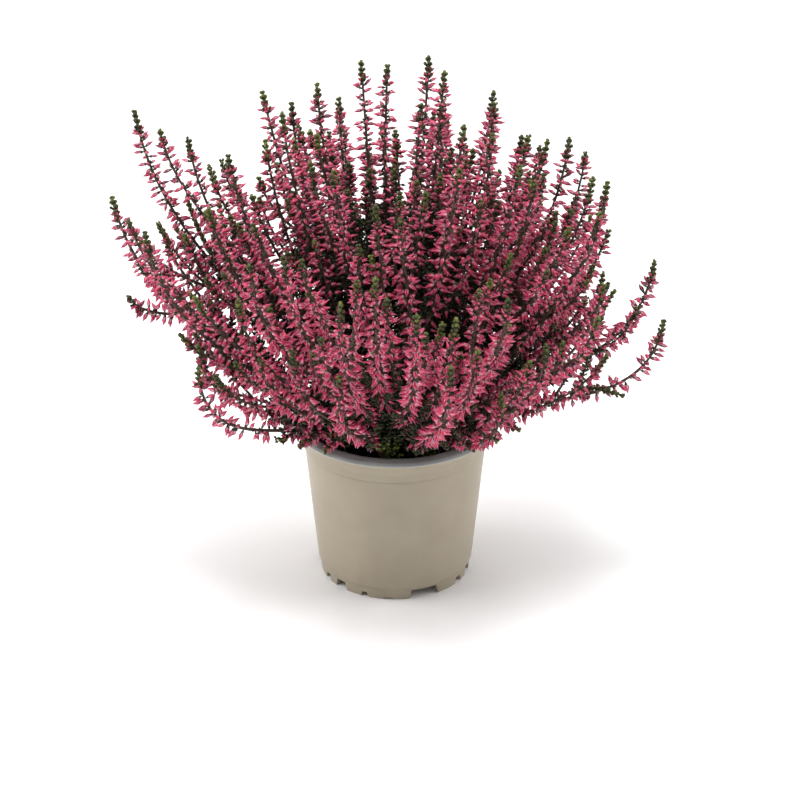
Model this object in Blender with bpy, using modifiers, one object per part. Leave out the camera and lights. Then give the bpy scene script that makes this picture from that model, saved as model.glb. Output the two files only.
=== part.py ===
# A heather in flower in a thin plastic pot, in metres, +Z up, with the pot's axis on Z and its feet on z = 0.
# Each branch leaves its own hole in the soil, and most fork once. The buds stand in opposite pairs, each pair
# a quarter turn from the last, and are raised from the branch's own four-sided skin.

import math

import bmesh
import bpy
import numpy as np
from mathutils import Matrix, Vector

# The pot: a turned wall with a sloping lip, a collar, a floor and a notched foot ring.
POT_STEPS = 36
LIP_RADIUS = 0.0600
LIP_TOP = 0.0976
COLLAR_RADIUS = 0.0537
COLLAR_BOTTOM = 0.0822
WALL_TOP_RADIUS = 0.0524
WALL_BOTTOM_RADIUS = 0.0452
WALL_THICKNESS = 0.0014
WALL_BOTTOM = 0.0064
FLOOR_UNDERSIDE = 0.0060
FLOOR_TOP = 0.0076
FOOT_OUTER_RADIUS = 0.0437
FOOT_INNER_RADIUS = 0.0414
DRAIN_RADIUS = 0.0050

# Notches in the foot ring: angle from the front, width and height. The set repeats in each third of the ring.
FOOT_NOTCHES = (
    (-46.0, 0.0076, 0.0050),
    (-24.0, 0.0038, 0.0030),
    (-5.0, 0.0053, 0.0012),
    (23.0, 0.0167, 0.0056),
    (57.0, 0.0053, 0.0040),
)

# The soil stands clear of the pot by this gap, and each stem clear of its hole by another.
SOIL_TOP = 0.0868
SOIL_GAP = 0.0003
HOLE_GAP = 0.0003
HOLE_BOTTOM = 0.0760
STEM_FOOT = HOLE_BOTTOM + HOLE_GAP
STEM_BEND = SOIL_TOP + 0.0012
OUT_OF_SOIL = STEM_BEND - STEM_FOOT

# The bush. Leans are in degrees from the vertical, as seen from the crown.
SEED = 41
CROWN = np.array([0.0, 0.0, 0.090])
BASE_RADIUS = 0.0380
BASE_SPACING = 0.0066
SPREAD_ROUNDS = 80
MOST_LEAN = 66.0
FRONT_LEAN_LOSS = 16.0
RULED_BRANCHES = 13
RULED_REACH = (0.80, 0.95)
RULED_TRIES = 60
DOME_REACH = 0.208
DOME_FALL = 0.052
DOME_FALLS_FROM = 30.0
RIM_RISE = 0.033
RIM_CLEARANCE = 0.0045

# A branch's curve: shares of its spread and rise that its handles span, and how far they wander. The more a
# branch leans, the more of its rise comes at its end, so the outer branches run out low and then turn up.
LOW_SPREAD = 0.27
LOW_SPREAD_LOSS = 0.12
LOW_RISE = 0.33
HIGH_SPREAD = 0.12
HIGH_SPREAD_LOSS = 0.08
HIGH_RISE = 0.34
HIGH_RISE_GAIN = 0.62
BOW_POWER = 2.5
LOW_WANDER = 0.0010
HIGH_WANDER = 0.0030
PATH_STEP = 0.002

# Tips of the branches that draw the outline and the front of the bush.
TIPS = (
    (-0.153, -0.030, 0.245),
    (-0.143, 0.012, 0.279),
    (-0.134, -0.050, 0.233),
    (-0.116, 0.030, 0.256),
    (-0.090, -0.022, 0.266),
    (-0.074, 0.040, 0.280),
    (-0.061, -0.008, 0.285),
    (-0.043, 0.024, 0.290),
    (-0.019, 0.062, 0.290),
    (-0.004, 0.026, 0.300),
    (0.019, 0.050, 0.297),
    (0.027, 0.008, 0.303),
    (0.037, -0.030, 0.286),
    (0.055, 0.034, 0.282),
    (0.067, -0.040, 0.267),
    (0.083, -0.008, 0.269),
    (0.099, 0.048, 0.249),
    (0.110, 0.008, 0.241),
    (0.115, -0.026, 0.252),
    (0.145, -0.005, 0.196),
    (0.151, -0.010, 0.162),
    (-0.108, -0.045, 0.164),
    (0.113, -0.052, 0.203),
    (-0.010, -0.122, 0.238),
    (-0.058, -0.098, 0.240),
    (-0.028, -0.121, 0.223),
    (0.011, -0.1284, 0.2201),
    (-0.029, -0.108, 0.175),
    (0.029, -0.120, 0.1865),
    (0.032, -0.106, 0.2075),
    (0.059, -0.100, 0.216),
    (-0.084, -0.072, 0.203),
    (0.081, -0.078, 0.179),
    (0.057, -0.086, 0.154),
    (-0.055, -0.090, 0.182),
)

# One branch: a slim four-sided core, buds larger than life, and a leafy tip.
CORE_BASE = 0.0011
CORE_TOP = 0.0008
BUD_REACH = 0.0072
BUD_SLOPES = (-0.35, 0.70)
BUD_SWING = 0.28
BUD_SPACING = 0.0060
LOWER_BUD_SPACING = 0.0080
DENSE_LENGTH = 0.070
YOUNG_LENGTH = 0.030
YOUNG_SHARE = 0.55
BUD_VARIES = (0.80, 1.08)
FLOWER_LENGTH = 0.128
LEAST_FLOWER = 0.030
BARE_SPACING = 0.020
LEAST_STEP = 0.003
LEAFY_LENGTH = 0.010
LEAF_REACH = 0.0020

# A bud ends where its point would come nearer than this to another stem's share of the room, or to the pot.
CELL_MARGIN = 0.0018
POT_MARGIN = 0.0010
INNER_LIP = LIP_RADIUS - 0.0120
NEAR_OWN = 0.020
NEAR_OTHERS = 0.030

# A side spray leaves its stem from one face, between two rings that stand this far either side of the fork.
FORK_HALF = 0.0020
FORK_START = 0.0048
FORK_CLEAR = 0.0115
FORK_ANGLE = 0.75
FORK_PULL = 0.030
FORK_BELOW = (0.004, 0.020)
LEAST_FORK = 0.019
LEAST_ROOM = 0.0062
SIDE_OFFSET = (0.015, 0.021)
SIDE_END = (0.74, 0.90)
SIDE_PULL = 0.36
SIDE_UPTURN = 0.25
SIDE_TRIES = 10

# Short leafy shoots in a ring inside the rim, each bent towards it.
SHOOTS = 9
SHOOT_RING = 0.0455
SHOOT_SEARCH = 0.26
SHOOT_HEIGHTS = (0.018, 0.024)
SHOOT_LEAN = 0.16
SHOOT_LEAF_REACH = 0.0034
SHOOT_LEAF_SPACING = 0.0034
SHOOT_TAPER = 0.4

BEIGE = (0.42, 0.36, 0.28, 1.0)
PEAT = (0.012, 0.009, 0.007, 1.0)
PINK = (0.55, 0.05, 0.15, 1.0)
GREEN = (0.09, 0.12, 0.03, 1.0)


def clear_scene():
    for old in list(bpy.data.objects):
        bpy.data.objects.remove(old, do_unlink=True)


def collection(name, hidden=False):
    made = bpy.data.collections.new(name)
    made.hide_render = hidden
    bpy.context.scene.collection.children.link(made)
    return made


def material(name, colour, roughness):
    made = bpy.data.materials.new(name)
    made.use_nodes = True
    shader = made.node_tree.nodes["Principled BSDF"]
    shader.inputs["Base Color"].default_value = colour
    shader.inputs["Roughness"].default_value = roughness
    shader.inputs["Metallic"].default_value = 0.0
    return made


def add_object(name, bm, target, finish=None):
    mesh = bpy.data.meshes.new(name)
    bm.to_mesh(mesh)
    bm.free()
    made = bpy.data.objects.new(name, mesh)
    if finish:
        mesh.materials.append(finish)
    target.objects.link(made)
    return made


def hide_cutter(cutter):
    cutter.hide_render = True
    cutter.display_type = "WIRE"


def cut(target, cutter):
    modifier = target.modifiers.new(cutter.name, "BOOLEAN")
    modifier.operation = "DIFFERENCE"
    modifier.solver = "EXACT"
    modifier.object = cutter


def smooth(target, angle=35.0):
    target.data.shade_smooth()
    target.data.set_sharp_from_angle(angle=math.radians(angle))


# Pot and soil.


def pot_profile():
    """Radius and height of the wall's section, down the outside and back up the inside."""
    return (
        (LIP_RADIUS - 0.0077, LIP_TOP - 0.0006),
        (LIP_RADIUS - 0.0055, LIP_TOP),
        (LIP_RADIUS - 0.0018, LIP_TOP - 0.0009),
        (LIP_RADIUS, LIP_TOP - 0.0024),
        (LIP_RADIUS - 0.0012, LIP_TOP - 0.0038),
        (COLLAR_RADIUS + 0.0014, LIP_TOP - 0.0072),
        (COLLAR_RADIUS, LIP_TOP - 0.0116),
        (COLLAR_RADIUS - 0.0006, COLLAR_BOTTOM),
        (WALL_TOP_RADIUS, COLLAR_BOTTOM - 0.0008),
        (WALL_BOTTOM_RADIUS, WALL_BOTTOM + 0.0016),
        (WALL_BOTTOM_RADIUS - 0.0013, WALL_BOTTOM),
        (FOOT_OUTER_RADIUS, 0.0),
        (FOOT_INNER_RADIUS, 0.0),
        (FOOT_INNER_RADIUS - 0.0002, FLOOR_UNDERSIDE),
        (DRAIN_RADIUS, FLOOR_UNDERSIDE),
        (DRAIN_RADIUS, FLOOR_TOP),
        (WALL_BOTTOM_RADIUS - WALL_THICKNESS, FLOOR_TOP),
        (WALL_TOP_RADIUS - WALL_THICKNESS, COLLAR_BOTTOM - 0.0002),
        (LIP_RADIUS - 0.0083, LIP_TOP - 0.0056),
    )


def make_pot(parts, cutters):
    bm = bmesh.new()
    points = [bm.verts.new((radius, 0.0, height)) for radius, height in pot_profile()]
    for here, after in zip(points, points[1:] + points[:1]):
        bm.edges.new((here, after))
    pot = add_object("pot", bm, parts, material("Pot plastic", BEIGE, 0.45))
    screw = pot.modifiers.new("Turn", "SCREW")
    screw.steps = screw.render_steps = POT_STEPS
    screw.use_merge_vertices = True
    screw.merge_threshold = 0.00001
    for third in range(3):
        for index, (angle, width, height) in enumerate(FOOT_NOTCHES):
            turn = math.radians(angle + 120.0 * third)
            bm = bmesh.new()
            bmesh.ops.create_cube(bm, size=1.0)
            bmesh.ops.scale(bm, vec=(width, 0.008, height + 0.002), verts=bm.verts)
            middle = (FOOT_OUTER_RADIUS + FOOT_INNER_RADIUS) / 2
            bmesh.ops.translate(bm, vec=(0.0, -middle, height / 2 - 0.001), verts=bm.verts)
            bmesh.ops.rotate(bm, matrix=Matrix.Rotation(turn, 3, "Z"), verts=bm.verts)
            notch = add_object(f"notch_{third}_{index}", bm, cutters)
            hide_cutter(notch)
            cut(pot, notch)
    smooth(pot)
    return pot


def make_soil(parts, cutters, stems):
    bottom = FLOOR_TOP + SOIL_GAP
    inner_bottom = WALL_BOTTOM_RADIUS - WALL_THICKNESS
    slope = (WALL_TOP_RADIUS - WALL_BOTTOM_RADIUS) / (COLLAR_BOTTOM - FLOOR_TOP)
    bm = bmesh.new()
    bmesh.ops.create_cone(
        bm,
        cap_ends=True,
        segments=POT_STEPS,
        radius1=inner_bottom - 2 * SOIL_GAP,
        radius2=inner_bottom - 2 * SOIL_GAP + 0.98 * slope * (SOIL_TOP - bottom),
        depth=SOIL_TOP - bottom,
    )
    bmesh.ops.translate(bm, vec=(0.0, 0.0, (SOIL_TOP + bottom) / 2), verts=bm.verts)
    bmesh.ops.rotate(bm, matrix=Matrix.Rotation(math.pi / 2, 3, "Z"), verts=bm.verts)
    soil = add_object("soil", bm, parts, material("Peat", PEAT, 0.95))
    bm = bmesh.new()
    depth = SOIL_TOP - HOLE_BOTTOM + 0.004
    for stem in stems:
        add_prism(bm, stem, CORE_BASE + HOLE_GAP * math.sqrt(2), HOLE_BOTTOM, depth)
    holes = add_object("stem_holes", bm, cutters)
    hide_cutter(holes)
    cut(soil, holes)
    smooth(soil)
    return soil


# The bush's layout: where each branch starts, how it curves and where it forks.


def unit(vectors):
    return vectors / np.linalg.norm(vectors, axis=-1, keepdims=True)


def lean_and_azimuth(tip):
    out = tip - CROWN
    return math.degrees(math.atan2(math.hypot(out[0], out[1]), out[2])), math.atan2(out[1], out[0])


def most_lean(azimuth):
    """The front leans out less than the sides and the back, so the rim stays in view."""
    facing = max(0.0, -math.sin(azimuth))
    return MOST_LEAN - FRONT_LEAN_LOSS * facing**2


def plan_of(tip):
    """The point of the base disc that belongs to a tip. A branch that leans more starts further out."""
    lean, azimuth = lean_and_azimuth(tip)
    radius = BASE_RADIUS * min(1.0, lean / MOST_LEAN)
    return radius * np.array([math.cos(azimuth), math.sin(azimuth)])


def dome_reach(lean):
    """Distance from the crown to the outside of the bush at a lean."""
    low = max(0.0, (lean - DOME_FALLS_FROM) / (MOST_LEAN - DOME_FALLS_FROM))
    return DOME_REACH - DOME_FALL * low**1.4


def all_tips(rng):
    """Adds tips to the listed ones, each the candidate that stands furthest from all before it."""
    tips = [np.array(tip) for tip in TIPS]
    plans = [plan_of(tip) for tip in tips]
    for _ in range(RULED_BRANCHES):
        best = None
        for _ in range(RULED_TRIES):
            azimuth = rng.uniform(-math.pi, math.pi)
            lean = most_lean(azimuth) * math.sqrt(rng.uniform(0.02, 1.0))
            reach = dome_reach(lean) * rng.uniform(*RULED_REACH)
            outward = math.sin(math.radians(lean))
            way = (outward * math.cos(azimuth), outward * math.sin(azimuth), math.cos(math.radians(lean)))
            tip = CROWN + reach * np.array(way)
            room = min(np.linalg.norm(plan_of(tip) - other) for other in plans)
            if best is None or room > best[0]:
                best = (room, tip)
        tips.append(best[1])
        plans.append(plan_of(best[1]))
    return tips, spread(np.array(plans))


def spread(plans):
    """Pushes base points apart until each has its own room in the soil."""
    others = 1 - np.eye(len(plans))
    for _ in range(SPREAD_ROUNDS):
        apart = plans[:, None] - plans[None]
        distance = np.linalg.norm(apart, axis=2) + np.eye(len(plans))
        push = np.clip(BASE_SPACING - distance, 0.0, None) * others
        plans = plans + 0.45 * (apart / distance[..., None] * push[..., None]).sum(axis=1)
    return plans


def lengths_along(path):
    return np.concatenate([[0.0], np.cumsum(np.linalg.norm(np.diff(path, axis=0), axis=1))])


def read_along(path, values, wanted):
    """Reads rows of values, one for each point of a path, at lengths along it."""
    along = lengths_along(path)
    return np.stack([np.interp(wanted, along, column) for column in values.T], axis=-1)


def bezier(a, b, c, d):
    """A cubic curve, as points PATH_STEP apart."""
    t = np.linspace(0.0, 1.0, 160)[:, None]
    path = (1 - t) ** 3 * a + 3 * (1 - t) ** 2 * t * b + 3 * (1 - t) * t**2 * c + t**3 * d
    total = lengths_along(path)[-1]
    return read_along(path, path, np.linspace(0.0, total, int(total / PATH_STEP) + 2))


def ways_along(path):
    return unit(np.gradient(path, axis=0))


def main_path(rng, tip, plan):
    """Up out of the soil, outwards over the rim, then upright again towards the tip."""
    base = np.array([plan[0], plan[1], STEM_BEND])
    foot = np.array([plan[0], plan[1], STEM_FOOT])
    out = tip - base
    level = np.array([out[0], out[1], 0.0])
    rise = np.array([0.0, 0.0, out[2]])
    lean, _ = lean_and_azimuth(tip)
    early = LOW_SPREAD - LOW_SPREAD_LOSS * (lean / MOST_LEAN) ** 3
    first = base + early * level + np.array([0.0, 0.0, max(LOW_RISE * out[2], RIM_RISE)])
    bow = (lean / MOST_LEAN) ** BOW_POWER
    last = tip - (HIGH_SPREAD - HIGH_SPREAD_LOSS * bow) * level - (HIGH_RISE + HIGH_RISE_GAIN * bow) * rise
    first[:2] += rng.normal(0.0, LOW_WANDER, 2)
    last += rng.normal(0.0, HIGH_WANDER, 3)
    return np.vstack([foot, bezier(base, first, last, tip)])


def clears_rim(path):
    """True for a path that passes over the lip with room for its thickness."""
    radius = np.hypot(path[:, 0], path[:, 1])
    over = (radius > LIP_RADIUS - 0.010) & (radius < LIP_RADIUS + 0.002)
    return not (path[over, 2] < LIP_TOP + RIM_CLEARANCE).any()


def room_round(path, others):
    return min(np.linalg.norm(path[:, None] - other[None, ::2], axis=2).min() for other in others)


def side_spray(rng, stem, others):
    """A second spray that leaves its stem below the flowers, towards the side with the most room."""
    path = stem["path"]
    total = lengths_along(path)[-1]
    fork = max(LEAST_FORK, total - FLOWER_LENGTH - rng.uniform(*FORK_BELOW))
    end = rng.uniform(*SIDE_END) * total
    offset = rng.uniform(*SIDE_OFFSET)
    start, finish = read_along(path, path, [fork, end])
    start_way, end_way = unit(read_along(path, ways_along(path), [fork, end]))
    level = unit(np.cross(end_way, [0.0, 1.0, 0.0]))
    upper = np.cross(end_way, level)
    best = None
    for turn in np.linspace(0.0, math.tau, SIDE_TRIES, endpoint=False):
        aside = math.cos(turn) * level + math.sin(turn) * upper
        tip = finish + offset * aside
        lean, azimuth = lean_and_azimuth(tip)
        if lean > most_lean(azimuth):
            continue
        leave = unit(aside - start_way * (aside @ start_way))
        first = start + FORK_PULL * (start_way * math.cos(FORK_ANGLE) + leave * math.sin(FORK_ANGLE))
        last = tip - SIDE_PULL * (end - fork) * unit(end_way + np.array([0.0, 0.0, SIDE_UPTURN]))
        spray = bezier(start, first, last, tip)
        room = room_round(spray[3:], others)
        if clears_rim(spray) and (best is None or room > best[0]):
            best = (room, spray, leave)
    if best is None or best[0] < LEAST_ROOM:
        return None
    return {"path": best[1], "leave": best[2], "fork": fork}


def plan_bush():
    rng = np.random.default_rng(SEED)
    stems = [{"path": main_path(rng, tip, plan), "side": None} for tip, plan in zip(*all_tips(rng))]
    for stem in stems:
        others = [other["path"][1:] for other in stems if other is not stem]
        others += [other["side"]["path"] for other in stems if other["side"]]
        stem["side"] = side_spray(rng, stem, others)
    return stems


def shoot_path(turn, height):
    level = np.array([math.sin(turn), -math.cos(turn), 0.0])
    foot = SHOOT_RING * level + np.array([0.0, 0.0, STEM_FOOT])
    base = SHOOT_RING * level + np.array([0.0, 0.0, STEM_BEND])
    upward = np.array([0.0, 0.0, height])
    tip = base + upward + SHOOT_LEAN * height * level
    return np.vstack([foot, bezier(base, base + 0.4 * upward, base + 0.8 * upward, tip)])


def plan_shoots(stems):
    """Short shoots, tall and short by turns, each where the branches leave the most room."""
    paths = [path[1:] for stem in stems for path in (stem["path"], (stem["side"] or stem)["path"])]
    shoots = []
    for shoot in range(SHOOTS):
        turns = math.tau * (shoot + 0.5) / SHOOTS + np.linspace(-SHOOT_SEARCH, SHOOT_SEARCH, 9)
        tries = [shoot_path(turn, SHOOT_HEIGHTS[shoot % 2]) for turn in turns]
        shoots.append({"path": max(tries, key=lambda tried: room_round(tried[1:], paths)), "side": None})
    return shoots


# Rings. A branch's skin is four-sided, and a bud is one corner of a ring drawn out to a point.


def carried_sides(path, first):
    """A direction square to the path, carried along it without twist."""
    ways = ways_along(path)
    sides = np.empty_like(path)
    side = np.array(first)
    for index, way in enumerate(ways):
        side = unit(side - way * (side @ way))
        sides[index] = side
    return sides


def turned_sides(path, sides, place, wanted):
    """Turns carried sides about their path so that they point in the wanted direction at one place."""
    ways = ways_along(path)
    way, side = read_along(path, ways, place), read_along(path, sides, place)
    turn = math.atan2(wanted @ np.cross(way, side), wanted @ side)
    return math.cos(turn) * sides + math.sin(turn) * np.cross(ways, sides)


def main_sides(stem):
    """The stem's corners are set so that its side spray leaves square to a face."""
    path, side = stem["path"], stem["side"]
    sides = carried_sides(path, (1.0, 0.0, 0.0))
    if side is None:
        return sides
    way = unit(read_along(path, ways_along(path), side["fork"]))
    wanted = unit(side["leave"] - np.cross(way, side["leave"]))
    return turned_sides(path, sides, side["fork"], wanted)


def spray_sides(stem):
    """The spray's corners follow those of the face that it leaves from."""
    side = stem["side"]
    way = unit(read_along(stem["path"], ways_along(stem["path"]), side["fork"]))
    ahead = ways_along(side["path"])[0]
    long = unit(way - ahead * (way @ ahead))
    return carried_sides(side["path"], unit(long + np.cross(ahead, long)))


def flower_places(total, flowers_from):
    """Lengths along a path of the rings that carry buds, close together near the tip and sparser low down."""
    last = total - LEAFY_LENGTH
    dense_from = max(flowers_from, last - DENSE_LENGTH)
    dense = np.arange(last, dense_from, -BUD_SPACING)
    lower = np.arange(dense[-1] - LOWER_BUD_SPACING, flowers_from, -LOWER_BUD_SPACING)
    return np.sort(np.concatenate([dense, lower]))


def ring_places(path, bare, flowers_from):
    """Lengths along a path of all its rings: bare ones, those with buds, and one for the leafy tip."""
    total = lengths_along(path)[-1]
    flowers = flower_places(total, flowers_from)
    bare = [place for place in bare if place < flowers[0] - LEAST_STEP]
    more = np.arange(bare[-1] + BARE_SPACING, flowers[0] - 0.5 * BARE_SPACING, BARE_SPACING)
    kinds = ["bare"] * (len(bare) + len(more)) + ["bud"] * len(flowers) + ["leaf"]
    return np.concatenate([bare, more, flowers, [total - LEAFY_LENGTH / 2]]), kinds


def ring_at(path, sides, place, core):
    """A ring of four corners: how far each stands out, how far it swings round, and how steeply all droop."""
    way = unit(read_along(path, ways_along(path), place))
    side = read_along(path, sides, place)
    side = unit(side - way * (side @ way))
    centre = read_along(path, path, place)
    ring = {"centre": centre, "way": way, "side": side, "core": core, "slope": 0.0}
    ring["reaches"] = np.full(4, core)
    ring["swings"] = np.zeros(4)
    return ring


def make_rings(rng, path, sides, bare, flowers_from):
    """Buds stand in opposite pairs, each a quarter turn from the last, short and turned up near the tip."""
    places, kinds = ring_places(path, bare, flowers_from)
    total = lengths_along(path)[-1]
    rings = []
    for index, (place, kind) in enumerate(zip(places, kinds)):
        ring = ring_at(path, sides, place, CORE_BASE + (CORE_TOP - CORE_BASE) * place / total)
        pair = slice(index % 2, None, 2)
        if kind == "bud":
            grown = min(1.0, (total - LEAFY_LENGTH - place) / YOUNG_LENGTH)
            ring["slope"] = BUD_SLOPES[0] + (BUD_SLOPES[1] - BUD_SLOPES[0]) * grown
            length = BUD_REACH * (YOUNG_SHARE + (1.0 - YOUNG_SHARE) * grown)
            ring["reaches"][pair] = length * rng.uniform(*BUD_VARIES, 2)
            ring["swings"][pair] = rng.uniform(-BUD_SWING, BUD_SWING, 2)
        if kind == "leaf":
            ring["reaches"][pair] = LEAF_REACH
        rings.append(ring)
    return rings


def corner(ring, index):
    """A corner's place. Corner 0 lies along the ring's side, and the rest follow by quarter turns."""
    across = np.cross(ring["way"], ring["side"])
    angle = index * math.pi / 2 + ring["swings"][index]
    outward = math.cos(angle) * ring["side"] + math.sin(angle) * across
    reach = ring["reaches"][index]
    droop = ring["slope"] * (reach - ring["core"])
    return ring["centre"] + reach * outward - droop * ring["way"]


def in_the_pot(point):
    """True for a point that lies in or touches the rim or the soil."""
    radius = math.hypot(point[0], point[1])
    if radius > LIP_RADIUS + POT_MARGIN:
        return False
    return point[2] < POT_MARGIN + (LIP_TOP if radius > INNER_LIP else SOIL_TOP)


def trim_buds(rings, own, others):
    """Shortens each bud until its point is nearer to its own stem than to any other, and clear of the pot."""
    for ring in rings:
        near_own = own[np.linalg.norm(own - ring["centre"], axis=1) < NEAR_OWN]
        near = others[np.linalg.norm(others - ring["centre"], axis=1) < NEAR_OTHERS]
        for index in range(4):
            while ring["reaches"][index] > ring["core"]:
                point = corner(ring, index)
                to_own = np.linalg.norm(near_own - point, axis=1).min()
                to_other = np.linalg.norm(near - point, axis=1).min() if len(near) else 1.0
                if to_other - to_own > CELL_MARGIN and not in_the_pot(point):
                    break
                ring["reaches"][index] = max(ring["core"], 0.9 * ring["reaches"][index] - 0.0001)


def shoot_rings(path):
    """Leaves in opposite pairs, each a quarter turn from the last and a little shorter."""
    sides = carried_sides(path, (1.0, 0.0, 0.0))
    rings = [ring_at(path, sides, place, CORE_BASE) for place in (0.0, OUT_OF_SOIL)]
    leaves = np.arange(OUT_OF_SOIL + 0.004, lengths_along(path)[-1] - 0.002, SHOOT_LEAF_SPACING)
    for index, place in enumerate(leaves):
        ring = ring_at(path, sides, place, CORE_TOP)
        ring["reaches"][index % 2 :: 2] = SHOOT_LEAF_REACH * (1.0 - SHOOT_TAPER * index / len(leaves))
        rings.append(ring)
    return rings


def ring_bush(stems, shoots):
    """Gives every stem, spray and shoot its rings, then trims what they carry to the room that each has."""
    rng = np.random.default_rng(SEED + 1)
    grown = []
    for stem in stems:
        path, side = stem["path"], stem["side"]
        flowers_from = max(lengths_along(path)[-1] - FLOWER_LENGTH, LEAST_FLOWER)
        bare = [0.0, OUT_OF_SOIL]
        if side:
            count = math.ceil((side["fork"] - FORK_HALF - OUT_OF_SOIL) / BARE_SPACING) + 1
            bare = [0.0, *np.linspace(OUT_OF_SOIL, side["fork"] - FORK_HALF, count), side["fork"] + FORK_HALF]
            side["step"] = len(bare) - 3
            flowers_from = max(flowers_from, side["fork"] + FORK_CLEAR)
        stem["rings"] = make_rings(rng, path, main_sides(stem), bare, flowers_from)
        grown.append((stem["rings"], path))
        if side:
            side["rings"] = make_rings(rng, side["path"], spray_sides(stem), [FORK_START], FORK_CLEAR)
            grown.append((side["rings"], side["path"]))
    for shoot in shoots:
        shoot["rings"] = shoot_rings(shoot["path"])
        grown.append((shoot["rings"], shoot["path"]))
    for index, (rings, path) in enumerate(grown):
        others = np.vstack([other[1:] for place, (_, other) in enumerate(grown) if place != index])
        trim_buds(rings, path, others)


# Meshes of the bush.


def add_prism(bm, stem, radius, bottom, depth):
    """An upright four-sided prism on a stem's foot, with its corners where the stem's are."""
    foot, side = stem["path"][0], stem["rings"][0]["side"]
    place = Matrix.Translation((foot[0], foot[1], bottom + depth / 2))
    turn = Matrix.Rotation(math.atan2(side[1], side[0]), 4, "Z")
    made = bmesh.ops.create_cone(
        bm,
        cap_ends=True,
        segments=4,
        radius1=radius,
        radius2=radius,
        depth=depth,
        matrix=place @ turn,
    )
    return made["verts"]


def grow(bm, face, rings, tip):
    """Extrudes a face from ring to ring and closes it at the tip. Gives back the side faces of each step."""
    steps = []
    order = None
    for ring in rings:
        start = np.array(face.verts[0].co - face.calc_center_median())
        if order is None:
            order = max(range(4), key=lambda index: (corner(ring, index) - ring["centre"]) @ start)
        face = bmesh.ops.extrude_discrete_faces(bm, faces=[face])["faces"][0]
        for index, vert in enumerate(face.verts):
            vert.co = corner(ring, (order + index) % 4)
        steps.append({side for vert in face.verts for side in vert.link_faces if side is not face})
    bmesh.ops.poke(bm, faces=[face])["verts"][0].co = tip
    return steps


def make_branch(stem, name, parts, finish):
    bm = bmesh.new()
    bottom = stem["rings"][0]["centre"][2]
    add_prism(bm, stem, CORE_BASE, bottom, stem["rings"][1]["centre"][2] - bottom)
    top = max(bm.faces, key=lambda face: face.calc_center_median().z)
    steps = grow(bm, top, stem["rings"][2:], stem["path"][-1])
    side = stem["side"]
    if side:
        outward = Vector(side["leave"])
        fork = max(steps[side["step"]], key=lambda face: face.normal @ outward)
        grow(bm, fork, side["rings"], side["path"][-1])
    bmesh.ops.triangulate(bm, faces=bm.faces, quad_method="SHORT_EDGE")
    return add_object(name, bm, parts, finish)


def main():
    clear_scene()
    parts = collection("potted_heather")
    cutters = collection("potted_heather_cutters", hidden=True)
    stems = plan_bush()
    shoots = plan_shoots(stems)
    ring_bush(stems, shoots)
    make_pot(parts, cutters)
    make_soil(parts, cutters, stems + shoots)
    flowering = material("Heather in flower", PINK, 0.7)
    leafy = material("Heather leaves", GREEN, 0.7)
    for index, stem in enumerate(stems):
        make_branch(stem, f"branch_{index + 1:02d}", parts, flowering)
    for index, shoot in enumerate(shoots):
        make_branch(shoot, f"shoot_{index + 1}", parts, leafy)


main()
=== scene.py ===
import math

import bpy
import numpy as np
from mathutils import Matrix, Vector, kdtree


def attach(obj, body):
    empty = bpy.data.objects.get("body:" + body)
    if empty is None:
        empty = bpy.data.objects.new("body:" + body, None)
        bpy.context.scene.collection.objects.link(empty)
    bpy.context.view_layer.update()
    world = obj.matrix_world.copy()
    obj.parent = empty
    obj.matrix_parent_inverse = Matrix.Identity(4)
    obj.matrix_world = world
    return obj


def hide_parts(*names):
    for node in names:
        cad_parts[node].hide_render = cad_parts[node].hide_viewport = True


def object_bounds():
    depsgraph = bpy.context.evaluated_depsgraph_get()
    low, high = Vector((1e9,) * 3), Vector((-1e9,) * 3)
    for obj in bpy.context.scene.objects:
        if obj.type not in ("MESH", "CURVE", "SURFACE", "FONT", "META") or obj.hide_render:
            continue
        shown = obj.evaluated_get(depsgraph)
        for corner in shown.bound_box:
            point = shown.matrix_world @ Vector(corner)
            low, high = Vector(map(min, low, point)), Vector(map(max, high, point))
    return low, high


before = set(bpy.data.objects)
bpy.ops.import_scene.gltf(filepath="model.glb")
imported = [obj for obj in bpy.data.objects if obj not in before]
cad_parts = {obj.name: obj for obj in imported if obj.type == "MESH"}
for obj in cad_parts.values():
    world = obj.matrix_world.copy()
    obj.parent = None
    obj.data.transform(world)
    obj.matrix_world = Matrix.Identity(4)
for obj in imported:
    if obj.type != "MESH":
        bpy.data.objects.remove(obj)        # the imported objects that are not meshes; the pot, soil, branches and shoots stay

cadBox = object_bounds()
print("frame loaded:", len(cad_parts), "nodes")

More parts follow.
